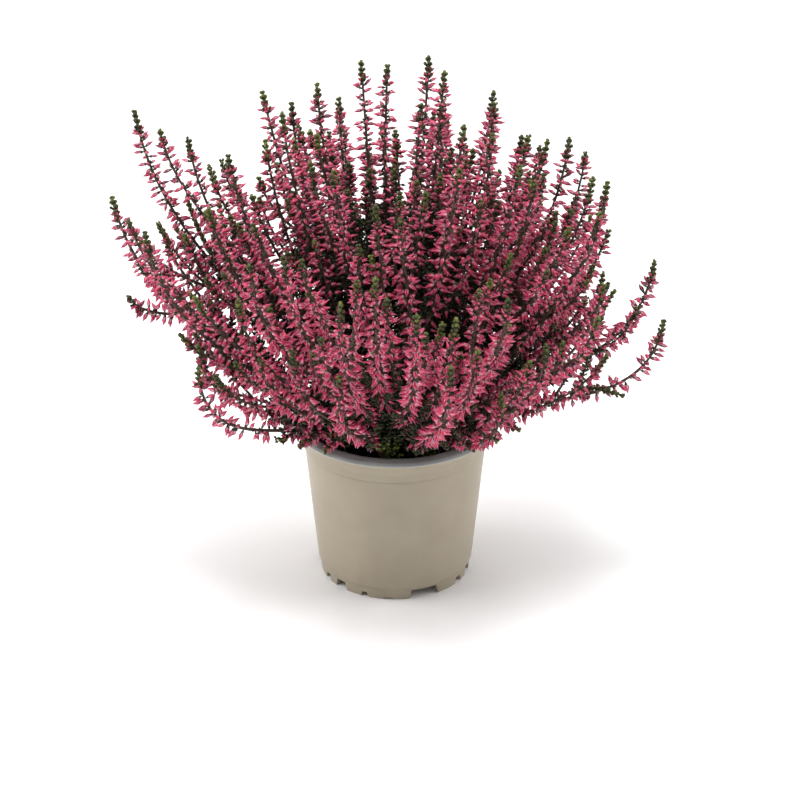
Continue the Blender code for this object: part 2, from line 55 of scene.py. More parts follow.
# Where the bush grows. These sizes are the CAD model's own, in metres, so that each stem runs down its node.
bush = {
    "seed": 41,
    "crown": np.array([0.0, 0.0, 0.090]),
    "baseRadius": 0.0380,
    "baseSpacing": 0.0066,
    "spreadRounds": 80,
    "spreadPush": 0.45,
    "mostLean": 66.0,
    "frontLeanLoss": 16.0,
    "ruledBranches": 13,
    "ruledReach": (0.80, 0.95),
    "ruledLean": (0.02, 1.0),
    "ruledTries": 60,
    "domeReach": 0.208,
    "domeFall": 0.052,
    "domeFallsFrom": 30.0,
    "domePower": 1.4,
    "rimRise": 0.033,
    "rimClearance": 0.0045,
    "rimBand": (0.010, 0.002),
    "lowSpread": 0.27,
    "lowSpreadLoss": 0.12,
    "lowSpreadPower": 3,
    "lowRise": 0.33,
    "highSpread": 0.12,
    "highSpreadLoss": 0.08,
    "highRise": 0.34,
    "highRiseGain": 0.62,
    "bowPower": 2.5,
    "lowWander": 0.0010,
    "highWander": 0.0030,
    "pathStep": 0.002,
    "soilTop": 0.0868,
    "stemFoot": 0.0763,
    "stemBend": 0.0880,
    "flowerLength": 0.128,
    "forkPull": 0.030,
    "forkAngle": 0.75,
    "forkBelow": (0.004, 0.020),
    "leastFork": 0.019,
    "leastRoom": 0.0062,
    "sideOffset": (0.015, 0.021),
    "sideEnd": (0.74, 0.90),
    "sidePull": 0.36,
    "sideUpturn": 0.25,
    "sideTries": 10,
}

# Tips of the branches that draw the outline and the front, as the CAD model has them.
tips = (
    (-0.153, -0.030, 0.245),
    (-0.143, 0.012, 0.279),
    (-0.134, -0.050, 0.233),
    (-0.116, 0.030, 0.256),
    (-0.090, -0.022, 0.266),
    (-0.074, 0.040, 0.280),
    (-0.061, -0.008, 0.285),
    (-0.043, 0.024, 0.290),
    (-0.019, 0.062, 0.290),
    (-0.004, 0.026, 0.300),
    (0.019, 0.050, 0.297),
    (0.027, 0.008, 0.303),
    (0.037, -0.030, 0.286),
    (0.055, 0.034, 0.282),
    (0.067, -0.040, 0.267),
    (0.083, -0.008, 0.269),
    (0.099, 0.048, 0.249),
    (0.110, 0.008, 0.241),
    (0.115, -0.026, 0.252),
    (0.145, -0.005, 0.196),
    (0.151, -0.010, 0.162),
    (-0.108, -0.045, 0.164),
    (0.113, -0.052, 0.203),
    (-0.010, -0.122, 0.238),
    (-0.058, -0.098, 0.240),
    (-0.028, -0.121, 0.223),
    (0.011, -0.1284, 0.2201),
    (-0.029, -0.108, 0.175),
    (0.029, -0.120, 0.1865),
    (0.032, -0.106, 0.2075),
    (0.059, -0.100, 0.216),
    (-0.084, -0.072, 0.203),
    (0.081, -0.078, 0.179),
    (0.057, -0.086, 0.154),
    (-0.055, -0.090, 0.182),
)

shoots = {
    "count": 9,
    "ring": 0.0455,
    "search": 0.26,
    "tries": 9,
    "heights": (0.018, 0.024),
    "lean": 0.16,
}


upright = np.array([0.0, 0.0, 1.0])


# Each row of vectors divided by its own length.
def unit(vectors):
    return vectors / np.linalg.norm(vectors, axis=-1, keepdims=True)


# Points round the axis, at radii, angles and heights of any shapes that fit each other.
def around(radius, angles, height):
    parts = np.broadcast_arrays(radius * np.cos(angles), radius * np.sin(angles), height)
    return np.stack(parts, axis=-1)


# Lean from the vertical in degrees, and compass angle, of the line from the crown to a tip.
def leanAndAzimuth(tip):
    out = tip - bush["crown"]
    return math.degrees(math.atan2(math.hypot(out[0], out[1]), out[2])), math.atan2(out[1], out[0])


# The front leans less, by the square of how far it faces the front.
def mostLean(azimuth):
    return bush["mostLean"] - bush["frontLeanLoss"] * max(0.0, -math.sin(azimuth)) ** 2


# True where a tip leans no further than it may, with some degrees to spare.
def leansWithin(tip, spare):
    lean, azimuth = leanAndAzimuth(tip)
    return lean <= mostLean(azimuth) - spare


# Base point: the lean's share of the base radius, in the tip's direction.
def planOf(tip):
    lean, azimuth = leanAndAzimuth(tip)
    radius = bush["baseRadius"] * min(1.0, lean / bush["mostLean"])
    return radius * np.array([math.cos(azimuth), math.sin(azimuth)])


# Outside of the bush: a sphere that falls in with the lean, as a power.
def domeReach(lean):
    low = max(0.0, (lean - bush["domeFallsFrom"]) / (bush["mostLean"] - bush["domeFallsFrom"]))
    return bush["domeReach"] - bush["domeFall"] * low ** bush["domePower"]


# The listed tips, then ruled ones, each the random try that stands furthest from all before it.
def allTips(rng):
    found = [np.array(tip) for tip in tips]
    plans = [planOf(tip) for tip in found]
    for _ in range(bush["ruledBranches"]):
        best = None
        for _ in range(bush["ruledTries"]):
            azimuth = rng.uniform(-math.pi, math.pi)
            lean = mostLean(azimuth) * math.sqrt(rng.uniform(*bush["ruledLean"]))
            reach = domeReach(lean) * rng.uniform(*bush["ruledReach"])
            outward = math.sin(math.radians(lean))
            way = (outward * math.cos(azimuth), outward * math.sin(azimuth), math.cos(math.radians(lean)))
            tip = bush["crown"] + reach * np.array(way)
            room = min(np.linalg.norm(planOf(tip) - other) for other in plans)
            if best is None or room > best[0]:
                best = (room, tip)
        found.append(best[1])
        plans.append(planOf(best[1]))
    return found, spreadOut(np.array(plans))


# Base points nearer than their spacing push each other apart by a share of what is missing, again and again.
def spreadOut(plans):
    others = 1 - np.eye(len(plans))
    for _ in range(bush["spreadRounds"]):
        apart = plans[:, None] - plans[None]
        distance = np.linalg.norm(apart, axis=2) + np.eye(len(plans))
        push = np.clip(bush["baseSpacing"] - distance, 0.0, None) * others
        plans = plans + bush["spreadPush"] * (apart / distance[..., None] * push[..., None]).sum(axis=1)
    return plans


# Distance run at each point of a path.
def lengthsAlong(path):
    return np.concatenate([[0.0], np.cumsum(np.linalg.norm(np.diff(path, axis=0), axis=1))])


# Values given at a path's points, read between them at wanted lengths.
def readAlong(path, values, wanted):
    along = lengthsAlong(path)
    return np.stack([np.interp(wanted, along, column) for column in values.T], axis=-1)


# Cubic curve through its two ends, drawn towards two handles, as points a step apart.
def bezier(a, b, c, d):
    t = np.linspace(0.0, 1.0, 160)[:, None]
    path = (1 - t) ** 3 * a + 3 * (1 - t) ** 2 * t * b + 3 * (1 - t) * t**2 * c + t**3 * d
    total = lengthsAlong(path)[-1]
    return readAlong(path, path, np.linspace(0.0, total, int(total / bush["pathStep"]) + 2))


# Unit direction at each point of a path.
def waysAlong(path):
    return unit(np.gradient(path, axis=0))


# A branch's line: straight up out of the soil, then a cubic curve out over the rim and up to the tip. The
# further it leans, the lower its second handle lies, so that more of its rise comes at the end.
def mainPath(rng, tip, plan):
    base = np.array([plan[0], plan[1], bush["stemBend"]])
    foot = np.array([plan[0], plan[1], bush["stemFoot"]])
    out = tip - base
    level = np.array([out[0], out[1], 0.0])
    rise = out[2] * upright
    lean, _ = leanAndAzimuth(tip)
    early = bush["lowSpread"] - bush["lowSpreadLoss"] * (lean / bush["mostLean"]) ** bush["lowSpreadPower"]
    first = base + early * level + max(bush["lowRise"] * out[2], bush["rimRise"]) * upright
    bow = (lean / bush["mostLean"]) ** bush["bowPower"]
    spread = bush["highSpread"] - bush["highSpreadLoss"] * bow
    last = tip - spread * level - (bush["highRise"] + bush["highRiseGain"] * bow) * rise
    first[:2] += rng.normal(0.0, bush["lowWander"], 2)
    last += rng.normal(0.0, bush["highWander"], 3)
    return np.vstack([foot, bezier(base, first, last, tip)])


# True where a path over the lip stands clear of it.
def clearsRim(path):
    inner, outer = bush["rimBand"]
    radius = np.hypot(path[:, 0], path[:, 1])
    over = (radius > potShape["lipRadius"] - inner) & (radius < potShape["lipRadius"] + outer)
    return not (path[over, 2] < potShape["lipTop"] + bush["rimClearance"]).any()


# Least distance from a path to any other.
def roomRound(path, others):
    return min(np.linalg.norm(path[:, None] - other[None, ::2], axis=2).min() for other in others)


# A spray that forks from its parent at one length and runs beside it to another, an offset away at a turn
# round it. It leaves at an angle, drawn by a pull, and comes in along the parent, turned up a little.
def beside(parent, fork, end, offset, turn, pull, angle):
    start, finish = readAlong(parent, parent, [fork, end])
    startWay, endWay = unit(readAlong(parent, waysAlong(parent), [fork, end]))
    level = unit(np.cross(endWay, [0.0, 1.0, 0.0]))
    aside = math.cos(turn) * level + math.sin(turn) * np.cross(endWay, level)
    tip = finish + offset * aside
    leave = unit(aside - startWay * (aside @ startWay))
    first = start + pull * (startWay * math.cos(angle) + leave * math.sin(angle))
    last = tip - bush["sidePull"] * (end - fork) * unit(endWay + bush["sideUpturn"] * upright)
    return bezier(start, first, last, tip)


# Of the tried paths that clear the rim, the one with the most room beyond its first points, after that room.
def roomiest(tries, others, skipped):
    best = (0.0, None)
    for path in tries:
        room = roomRound(path[skipped:], others) if clearsRim(path) else 0.0
        if room > best[0]:
            best = (room, path)
    return best


# The second spray of a branch: of several ways round the stem, the one with the most room.
def sideSpray(rng, stem, others):
    path = stem["path"]
    total = lengthsAlong(path)[-1]
    fork = max(bush["leastFork"], total - bush["flowerLength"] - rng.uniform(*bush["forkBelow"]))
    end = rng.uniform(*bush["sideEnd"]) * total
    offset = rng.uniform(*bush["sideOffset"])
    turns = np.linspace(0.0, math.tau, bush["sideTries"], endpoint=False)
    tries = [beside(path, fork, end, offset, turn, bush["forkPull"], bush["forkAngle"]) for turn in turns]
    tries = [tried for tried in tries if leansWithin(tried[-1], 0.0)]
    room, found = roomiest(tries, others, 3)
    return {"path": found} if room >= bush["leastRoom"] else None


# Every branch of the bush, with its second spray where there is room for one.
def planBush():
    rng = np.random.default_rng(bush["seed"])
    stems = [{"path": mainPath(rng, tip, plan), "side": None} for tip, plan in zip(*allTips(rng))]
    for stem in stems:
        others = [other["path"][1:] for other in stems if other is not stem]
        others += [other["side"]["path"] for other in stems if other["side"]]
        stem["side"] = sideSpray(rng, stem, others)
    return stems


# A short shoot's line, bent a little towards the rim. Its handles are 0.4 and 0.8 of its height up.
def shootPath(turn, height):
    level = np.array([math.sin(turn), -math.cos(turn), 0.0])
    foot = shoots["ring"] * level + bush["stemFoot"] * upright
    base = shoots["ring"] * level + bush["stemBend"] * upright
    upward = height * upright
    tip = base + upward + shoots["lean"] * height * level
    return np.vstack([foot, bezier(base, base + 0.4 * upward, base + 0.8 * upward, tip)])


# The lines of all stems and of their side sprays, without their first points.
def plannedPaths(stems):
    return [path[1:] for stem in stems for path in (stem["path"], (stem["side"] or stem)["path"])]


# Short shoots round the rim, each where the branches leave it the most room.
def planShoots(stems):
    paths = plannedPaths(stems)
    found = []
    for shoot in range(shoots["count"]):
        middle = math.tau * (shoot + 0.5) / shoots["count"]
        turns = middle + np.linspace(-shoots["search"], shoots["search"], shoots["tries"])
        tries = [shootPath(turn, shoots["heights"][shoot % 2]) for turn in turns]
        found.append(max(tries, key=lambda tried: roomRound(tried[1:], paths)))
    return found


# Finer sprays between the planned ones. They fork from a stem or its side spray, where there is room.
fillers = {
    "seed": 90,
    "each": 6,
    "turns": 8,
    "sideShare": 0.45,
    "leafyShare": 0.015,
    # where they fork and end, as shares of the parent's length, and how far they fork from its foot at least
    "fork": (0.22, 0.62),
    "end": (0.66, 1.0),
    "leastFork": 0.022,
    "leastLength": 0.035,
    "offset": (0.009, 0.020),
    "pull": 0.35,
    "angle": 0.6,
    "leastRoom": 0.0038,
    "leanSpare": 3.0,
    # how far a tip stays inside the CAD model's box, on its low sides and on its high sides
    "boxSpare": (0.006, 0.002),
    # few stand low in front: this far before the axis and below this height
    "front": (0.035, 0.225),
    "frontShare": 0.15,
    "green": (0.0040, 0.0075),
}


# True where a filler's tip keeps to the CAD model's box, to its parent's reach and to the bush's lean.
def tipFits(tip, parent):
    low, high = np.array(cadBox)
    lowSpare, highSpare = fillers["boxSpare"]
    inTheBox = (tip > low + lowSpare).all() and (tip < high - highSpare).all()
    reach = np.linalg.norm(tip - bush["crown"]) / np.linalg.norm(parent[-1] - bush["crown"])
    return inTheBox and reach <= 1.0 and leansWithin(tip, fillers["leanSpare"])


# True where a path at one length stands low in front.
def lowInFront(path, length):
    before, below = fillers["front"]
    place = readAlong(path, path, [length])[0]
    return place[1] < -before and place[2] < below


# Of several ways round its parent, each filler takes the one with the most room.
def planFillers(stems):
    rng = np.random.default_rng(fillers["seed"])
    paths = plannedPaths(stems)
    for stem in stems:
        stem["fillers"] = []
        for _ in range(fillers["each"]):
            fromSide = stem["side"] and rng.uniform() < fillers["sideShare"]
            parent = (stem["side"] if fromSide else stem)["path"]
            total = lengthsAlong(parent)[-1]
            fork = max(fillers["leastFork"], rng.uniform(*fillers["fork"]) * total)
            end = max(fork + fillers["leastLength"], rng.uniform(*fillers["end"]) * total)
            offset = rng.uniform(*fillers["offset"])
            leafy = rng.uniform() < fillers["leafyShare"]
            if end > total or (lowInFront(parent, end) and rng.uniform() > fillers["frontShare"]):
                continue
            others = [path for path in paths if not np.allclose(path[-1], parent[-1])]
            pull = fillers["pull"] * (end - fork)
            turns = rng.uniform(0.0, math.tau) + np.linspace(0.0, math.tau, fillers["turns"], endpoint=False)
            tries = [beside(parent, fork, end, offset, turn, pull, fillers["angle"]) for turn in turns]
            room, path = roomiest([tried for tried in tries if tipFits(tried[-1], parent)], others, 5)
            if room > fillers["leastRoom"]:
                green = rng.uniform(*fillers["green"])
                stem["fillers"].append({"path": path, "leafy": leafy, "green": green})
                paths.append(path)


# Sprays at places read off the photo: low ones that hang over the rim, and two leafy ones on the right.
extras = {
    "startPull": 0.35,
    "startLevel": 0.6,
    "endPull": 0.38,
    "green": 0.003,
    # the place where each forks, its tip, how steeply it ends, and whether it is leafy
    "sprays": (
        ((-0.040, -0.030, 0.102), (-0.064, -0.050, 0.107), -0.3, False),
        ((-0.032, -0.032, 0.101), (-0.053, -0.056, 0.106), -0.4, False),
        ((-0.024, -0.036, 0.101), (-0.039, -0.061, 0.106), -0.3, False),
        ((0.028, -0.034, 0.101), (0.044, -0.059, 0.106), -0.3, False),
        ((0.036, -0.028, 0.101), (0.057, -0.049, 0.106), -0.3, False),
        ((0.042, -0.022, 0.102), (0.070, -0.035, 0.106), -0.2, False),
        ((0.098, -0.020, 0.122), (0.122, -0.020, 0.185), 1.6, True),
        ((0.100, -0.028, 0.122), (0.128, -0.030, 0.125), -0.2, True),
    ),
}


# Each forks from the nearest point of any branch. Its handles rise from there and end at its own steepness.
def addExtras(stems):
    for place, tip, steep, leafy in extras["sprays"]:
        tip = np.array(tip)
        away = [np.linalg.norm(stem["path"] - place, axis=1) for stem in stems]
        nearest = int(np.argmin([distances.min() for distances in away]))
        start = stems[nearest]["path"][away[nearest].argmin()]
        length = np.linalg.norm(tip - start)
        level = unit(np.array([tip[0], tip[1], 0.0]))
        rising = unit(extras["startLevel"] * level + upright)
        ending = unit(level + steep * upright)
        first = start + extras["startPull"] * length * rising
        last = tip - extras["endPull"] * length * ending
        path = bezier(start, first, last, tip)
        stems[nearest]["fillers"].append({"path": path, "leafy": leafy, "green": extras["green"]})


# Every spray with a number of its own: a branch's stem, its side spray, then its fillers.
def numberedSprays(stems):
    sprays = []
    for stem in stems:
        sprays += [stem] + ([stem["side"]] if stem["side"] else []) + stem["fillers"]
    for owner, grown in enumerate(sprays):
        grown["owner"] = owner
    return sprays


# A search tree of every second point of the sprays' lines, and the number of the spray that each point is on.
def linesOf(sprays):
    points = np.vstack([grown["path"][::2] for grown in sprays])
    owners = [grown["owner"] for grown in sprays for _ in grown["path"][::2]]
    tree = kdtree.KDTree(len(points))
    for index, point in enumerate(points):
        tree.insert(point, index)
    tree.balance()
    return tree, owners


# Quads of a grid of points, row after row. Columns close round, and rows too if asked.
def gridFaces(rows, columns, closeRows=False):
    row = np.arange(rows if closeRows else rows - 1)[:, None]
    column = np.arange(columns)[None]
    upper, right = (row + 1) % rows, (column + 1) % columns
    here, over = row * columns, upper * columns
    corners = np.broadcast_arrays(here + column, here + right, over + right, over + column)
    return np.stack(corners, axis=-1).reshape(-1, 4)


# Faces of closed rings in rows, with a fan to a pole at each end. The two poles come after the rings' points.
def ringFaces(rows, columns):
    here = np.arange(columns)
    following = (here + 1) % columns
    poles, last = rows * columns, (rows - 1) * columns
    under = np.stack([np.full(columns, poles), following, here], axis=-1)
    over = np.stack([last + here, last + following, np.full(columns, poles + 1)], axis=-1)
    return [gridFaces(rows, columns), under, over]


# A pile gathers one piece's surfaces: points, faces, which finish, and three numbers that the finishes read.
def newPile():
    return {"points": [], "faces": [], "finish": [], "along": [], "luck": [], "margin": [], "count": 0}


# Adds points in any shape (..., 3), with blocks of faces that count from the first of them. All blocks have
# one finish, or each its own.
def put(pile, points, faces, finish, along=0.0, luck=0.5, margin=0.0):
    shape = points.shape[:-1]
    for block, ownFinish in zip(faces, np.broadcast_to(finish, len(faces))):
        pile["faces"].append(block + pile["count"])
        pile["finish"].append(np.full(len(block), ownFinish))
    pile["points"].append(points.reshape(-1, 3))
    for key, value in (("along", along), ("luck", luck), ("margin", margin)):
        pile[key].append(np.broadcast_to(value, shape).reshape(-1))
    pile["count"] += int(np.prod(shape))


# A new object in the scene, for a mesh, a camera or a lamp.
def addObject(name, data):
    made = bpy.data.objects.new(name, data)
    bpy.context.scene.collection.objects.link(made)
    return made


# Turns a pile into a mesh object at the origin.
def makePiece(name, pile, finishes, smooth=True):
    points = np.concatenate(pile["points"])
    corners = np.concatenate([block.reshape(-1) for block in pile["faces"]])
    sizes = np.concatenate([np.full(len(block), block.shape[1]) for block in pile["faces"]])
    mesh = bpy.data.meshes.new(name)
    mesh.vertices.add(len(points))
    mesh.vertices.foreach_set("co", points.astype(np.float32).reshape(-1))
    mesh.loops.add(len(corners))
    mesh.loops.foreach_set("vertex_index", corners.astype(np.int32))
    mesh.polygons.add(len(sizes))
    mesh.polygons.foreach_set("loop_start", (np.cumsum(sizes) - sizes).astype(np.int32))
    mesh.polygons.foreach_set("material_index", np.concatenate(pile["finish"]).astype(np.int32))
    mesh.polygons.foreach_set("use_smooth", np.full(len(sizes), smooth))
    for key in ("along", "luck", "margin"):
        values = mesh.attributes.new(key, "FLOAT", "POINT")
        values.data.foreach_set("value", np.concatenate(pile[key]).astype(np.float32))
    mesh.update(calc_edges=True)
    mesh.validate()
    for finish in finishes:
        mesh.materials.append(finish)
    return addObject(name, mesh)


# A piece rides on the pot's body and stands for its CAD nodes.
def seat(piece, slot, *nodes):
    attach(piece, "root")
    if nodes:
        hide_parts(*nodes)


# A new material with its node tree and its shader.
def newFinish(name, roughness):
    made = bpy.data.materials.new(name)
    made.use_nodes = True
    shader = made.node_tree.nodes["Principled BSDF"]
    shader.inputs["Roughness"].default_value = roughness
    return made, made.node_tree, shader


# Adds a node and sets what is given by name.
def addNode(tree, kind, **settings):
    node = tree.nodes.new(kind)
    for key, value in settings.items():
        setattr(node, key, value)
    return node


# One of the numbers that a pile gives to each point.
def readNumber(tree, name):
    return addNode(tree, "ShaderNodeAttribute", attribute_name=name).outputs["Fac"]


# Colours at stops from 0 to 1. They are given as they look on screen, and turned to linear light here.
def ramp(tree, value, *stops):
    node = tree.nodes.new("ShaderNodeValToRGB")
    points = node.color_ramp.elements
    while len(points) < len(stops):
        points.new(0.5)
    for point, (place, colour) in zip(points, stops):
        point.position = place
        point.color = linear(colour)
    tree.links.new(value, node.inputs["Fac"])
    return node.outputs["Color"]


# Screen value to light: the power curve of sRGB above its short straight foot.
def linear(colour):
    values = np.array(colour) / 255.0
    light = np.where(values <= 0.04045, values / 12.92, ((values + 0.055) / 1.055) ** 2.4)
    return (*light, 1.0)


# Blends a second colour, or a product with it, over the first by an amount. Each may be a value or a socket.
def mixColours(tree, blend, amount, first, second):
    node = addNode(tree, "ShaderNodeMix", data_type="RGBA", blend_type=blend)
    inputs = [socket for socket in node.inputs if socket.enabled]
    for socket, value in zip(inputs, (amount, first, second)):
        if isinstance(value, bpy.types.NodeSocket):
            tree.links.new(value, socket)
        else:
            socket.default_value = value
    return [socket for socket in node.outputs if socket.enabled][0]


# Fine specks over a colour: its product with a shade from the darkest to white, by an amount.
def speckle(tree, colour, scale, detail, darkest, amount):
    speck = ramp(tree, noise(tree, scale, detail), (0.35, darkest), (0.65, (255, 255, 255)))
    return mixColours(tree, "MULTIPLY", amount, colour, speck)


# Noise on the object's own metres, read from 0 to 1.
def noise(tree, scale, detail=3.0, rough=0.6):
    place = tree.nodes.new("ShaderNodeTexCoord")
    node = tree.nodes.new("ShaderNodeTexNoise")
    node.inputs["Scale"].default_value = scale
    node.inputs["Detail"].default_value = detail
    node.inputs["Roughness"].default_value = rough
    tree.links.new(place.outputs["Object"], node.inputs["Vector"])
    return node.outputs["Fac"]


# Shades a finish as if it rose by a distance where the height is 1.
def raiseBy(tree, shader, height, distance, strength):
    node = tree.nodes.new("ShaderNodeBump")
    node.inputs["Distance"].default_value = distance
    node.inputs["Strength"].default_value = strength
    tree.links.new(height, node.inputs["Height"])
    tree.links.new(node.outputs["Normal"], shader.inputs["Normal"])


# The pot: a thin moulded wall, taupe outside and grey inside, on a notched foot ring.
potShape = {
    "lipRadius": 0.0600,
    "lipTop": 0.0976,
    "collarRadius": 0.0537,
    "collarBottom": 0.0822,
    "wallTop": 0.0524,
    "wallBottom": 0.0452,
    "wall": 0.0014,
    "wallFoot": 0.0064,
    "underside": 0.0060,
    "floorTop": 0.0076,
    "footOuter": 0.0437,
    "footInner": 0.0414,
    "drain": 0.0050,
    "steps": 104,
    "fillet": 0.0005,
    "filletPoints": 3,
    "notchRamp": 0.0014,
    # angle from the front, width and height, repeated in each third of the ring
    "notches": ((-46.0, 0.0076, 0.0050), (-24.0, 0.0038, 0.0030), (-5.0, 0.0053, 0.0012),
                (23.0, 0.0167, 0.0056), (57.0, 0.0053, 0.0040)),
}


# The section's corners, up the outside from the foot and down the inside, each with the finish of what
# follows: 0 is taupe and 1 is grey.
def potOutline():
    s = potShape
    lip, top = s["lipRadius"], s["lipTop"]
    return (
        (s["footInner"], 0.0, 0),
        (s["footOuter"], 0.0, 0),
        (s["wallBottom"] - 0.0013, s["wallFoot"], 0),
        (s["wallBottom"], s["wallFoot"] + 0.0016, 0),
        (s["wallTop"], s["collarBottom"] - 0.0018, 0),
        (s["wallTop"] - 0.0004, s["collarBottom"] + 0.0002, 0),
        (s["collarRadius"] - 0.0001, s["collarBottom"] - 0.0002, 0),
        (s["collarRadius"], top - 0.0116, 0),
        (s["collarRadius"] + 0.0014, top - 0.0072, 0),
        (lip - 0.0012, top - 0.0038, 0),
        (lip, top - 0.0024, 1),
        (lip - 0.0018, top - 0.0009, 1),
        (lip - 0.0055, top, 1),
        (lip - 0.0077, top - 0.0006, 1),
        (lip - 0.0083, top - 0.0056, 1),
        (s["wallTop"] - s["wall"], s["collarBottom"] - 0.0002, 1),
        (s["wallBottom"] - s["wall"], s["floorTop"], 1),
        (s["drain"], s["floorTop"], 0),
        (s["drain"], s["underside"], 0),
        (s["footInner"] - 0.0002, s["underside"], 0),
    )


# Each corner becomes a short quadratic curve that starts and ends a fillet away, or half its shorter side.
def roundedOutline(outline, fillet, count):
    corner = np.array([point[:2] for point in outline])
    before, after = np.roll(corner, 1, axis=0) - corner, np.roll(corner, -1, axis=0) - corner
    shortest = np.minimum(np.linalg.norm(before, axis=1), np.linalg.norm(after, axis=1))
    cutBack = np.minimum(fillet, 0.45 * shortest)[:, None]
    start, end = corner + cutBack * unit(before), corner + cutBack * unit(after)
    t = np.linspace(0.0, 1.0, count)[None, :, None]
    curve = (1 - t) ** 2 * start[:, None] + 2 * (1 - t) * t * corner[:, None] + t**2 * end[:, None]
    finish = np.repeat([point[2] for point in outline], count)
    return curve.reshape(-1, 2), finish


# Angle, width and height of every notch, and the foot ring's middle radius, on which they are measured.
allNotches = [(math.radians(place + 120.0 * third - 90.0), width, rise)
              for third in range(3) for place, width, rise in potShape["notches"]]
footMiddle = (potShape["footOuter"] + potShape["footInner"]) / 2


# Angles brought to between minus and plus half a turn.
def wrapped(angles):
    return np.angle(np.exp(1j * angles))


# Height of the foot ring's edge at each angle: a smooth step up and down at each notch.
def notchHeight(angles):
    height = np.zeros_like(angles)
    for place, width, rise in allNotches:
        inside = (width / 2 - np.abs(wrapped(angles - place)) * footMiddle) / potShape["notchRamp"] + 0.5
        share = np.clip(inside, 0.0, 1.0)
        height = np.maximum(height, rise * share**2 * (3 - 2 * share))
    return height


# Angles round the pot: even ones, and close ones at both sides of each notch.
def potAngles():
    even = np.linspace(-math.pi, math.pi, potShape["steps"], endpoint=False)
    close = potShape["notchRamp"] * np.linspace(-0.5, 0.5, 5)
    extra = []
    for place, width, _ in allNotches:
        extra.append(place + (np.array([[-width / 2], [width / 2]]) + close).reshape(-1) / footMiddle)
    return np.unique(np.round(np.concatenate([even, wrapped(np.concatenate(extra))]), 5))


# The section swept round the axis. Below the wall's foot each point is lifted to the notch's height.
def makePot():
    section, finish = roundedOutline(potOutline(), potShape["fillet"], potShape["filletPoints"])
    angles = potAngles()
    lift = notchHeight(angles)
    radius = section[:, 0][:, None]
    level = section[:, 1][:, None]
    height = np.maximum(level, np.where(level < potShape["underside"] - 0.0001, lift, 0.0))
    points = around(radius, angles, height)
    pile = newPile()
    faces = gridFaces(len(section), len(angles), closeRows=True).reshape(len(section), -1, 4)
    blocks = [faces[finish == which].reshape(-1, 4) for which in (0, 1)]
    put(pile, points, blocks, (0, 1))
    taupe = plastic("taupePlastic", 0.42, 38.0, 4.0, (157, 146, 126), (165, 154, 134))
    grey = plastic("greyPlastic", 0.36, 60.0, 3.0, (172, 177, 176), (184, 189, 188))
    piece = makePiece("nurseryPot", pile, [taupe, grey])
    piece.data.set_sharp_from_angle(angle=math.radians(50))
    seat(piece, "pot_plastic", "pot")


# Satin plastic: a faint cloudiness between two shades, and the grain of a moulded skin.
def plastic(name, roughness, scale, detail, darker, lighter):
    made, tree, shader = newFinish(name, roughness)
    colour = ramp(tree, noise(tree, scale, detail), (0.30, darker), (0.72, lighter))
    tree.links.new(colour, shader.inputs["Base Color"])
    raiseBy(tree, shader, noise(tree, 1900.0, 2.0), 0.00004, 0.5)
    return made


# The soil: a body that fills the pot, with a crumbly top, and loose crumbs lying on it.
soilShape = {
    "gap": 0.0006,
    "bottomGap": 0.0003,
    "rings": 44,
    "steps": 150,
    "relief": 0.00096,
    "sunk": 0.0006,
    "waves": 60,
    "waveLengths": (0.003, 0.022),
    "crumbs": 600,
    "crumbSizes": (0.0005, 0.0019),
    "crumbRough": (0.7, 1.25),
    "crumbSquash": (0.6, 1.3),
}


# Sum of many cosines of random direction, pitch and start, scaled to about -1 to 1.
def crumble(x, y, rng, count, waveLengths):
    pitch = np.exp(rng.uniform(*np.log(waveLengths), count))
    turn, start = rng.uniform(0, math.tau, count), rng.uniform(0, math.tau, count)
    waves = np.cos(math.tau * (x[..., None] * np.cos(turn) + y[..., None] * np.sin(turn)) / pitch + start)
    return waves.sum(axis=-1) / math.sqrt(count)


# Top and side as one surface: rings out to the wall, then down its slope, closed by poles at both ends.
def makeSoil():
    rng = np.random.default_rng(7)
    steps = soilShape["steps"]
    angles = np.linspace(0.0, math.tau, steps, endpoint=False)
    bottom = potShape["floorTop"] + soilShape["bottomGap"]
    slope = (potShape["wallTop"] - potShape["wallBottom"]) / (potShape["collarBottom"] - potShape["floorTop"])
    low = potShape["wallBottom"] - potShape["wall"] - soilShape["gap"]
    top = low + slope * (bush["soilTop"] - bottom)
    radius = top * np.linspace(0.0, 1.0, soilShape["rings"] + 1)[1:][:, None]
    x, y = radius * np.cos(angles), radius * np.sin(angles)
    relief = soilShape["relief"] * crumble(x, y, rng, soilShape["waves"], soilShape["waveLengths"])
    topRings = np.stack([x, y, bush["soilTop"] + relief - soilShape["sunk"]], axis=-1)
    rings = np.concatenate([around(low, angles, bottom)[None], topRings[::-1]])
    points = np.vstack([rings.reshape(-1, 3), [[0.0, 0.0, bottom], [0.0, 0.0, bush["soilTop"]]]])
    pile = newPile()
    put(pile, points, ringFaces(len(rings), steps), 0)
    finish = peat()
    seat(makePiece("peatSoil", pile, [finish]), "peat_soil", "soil")
    strewCrumbs(rng, top, finish)


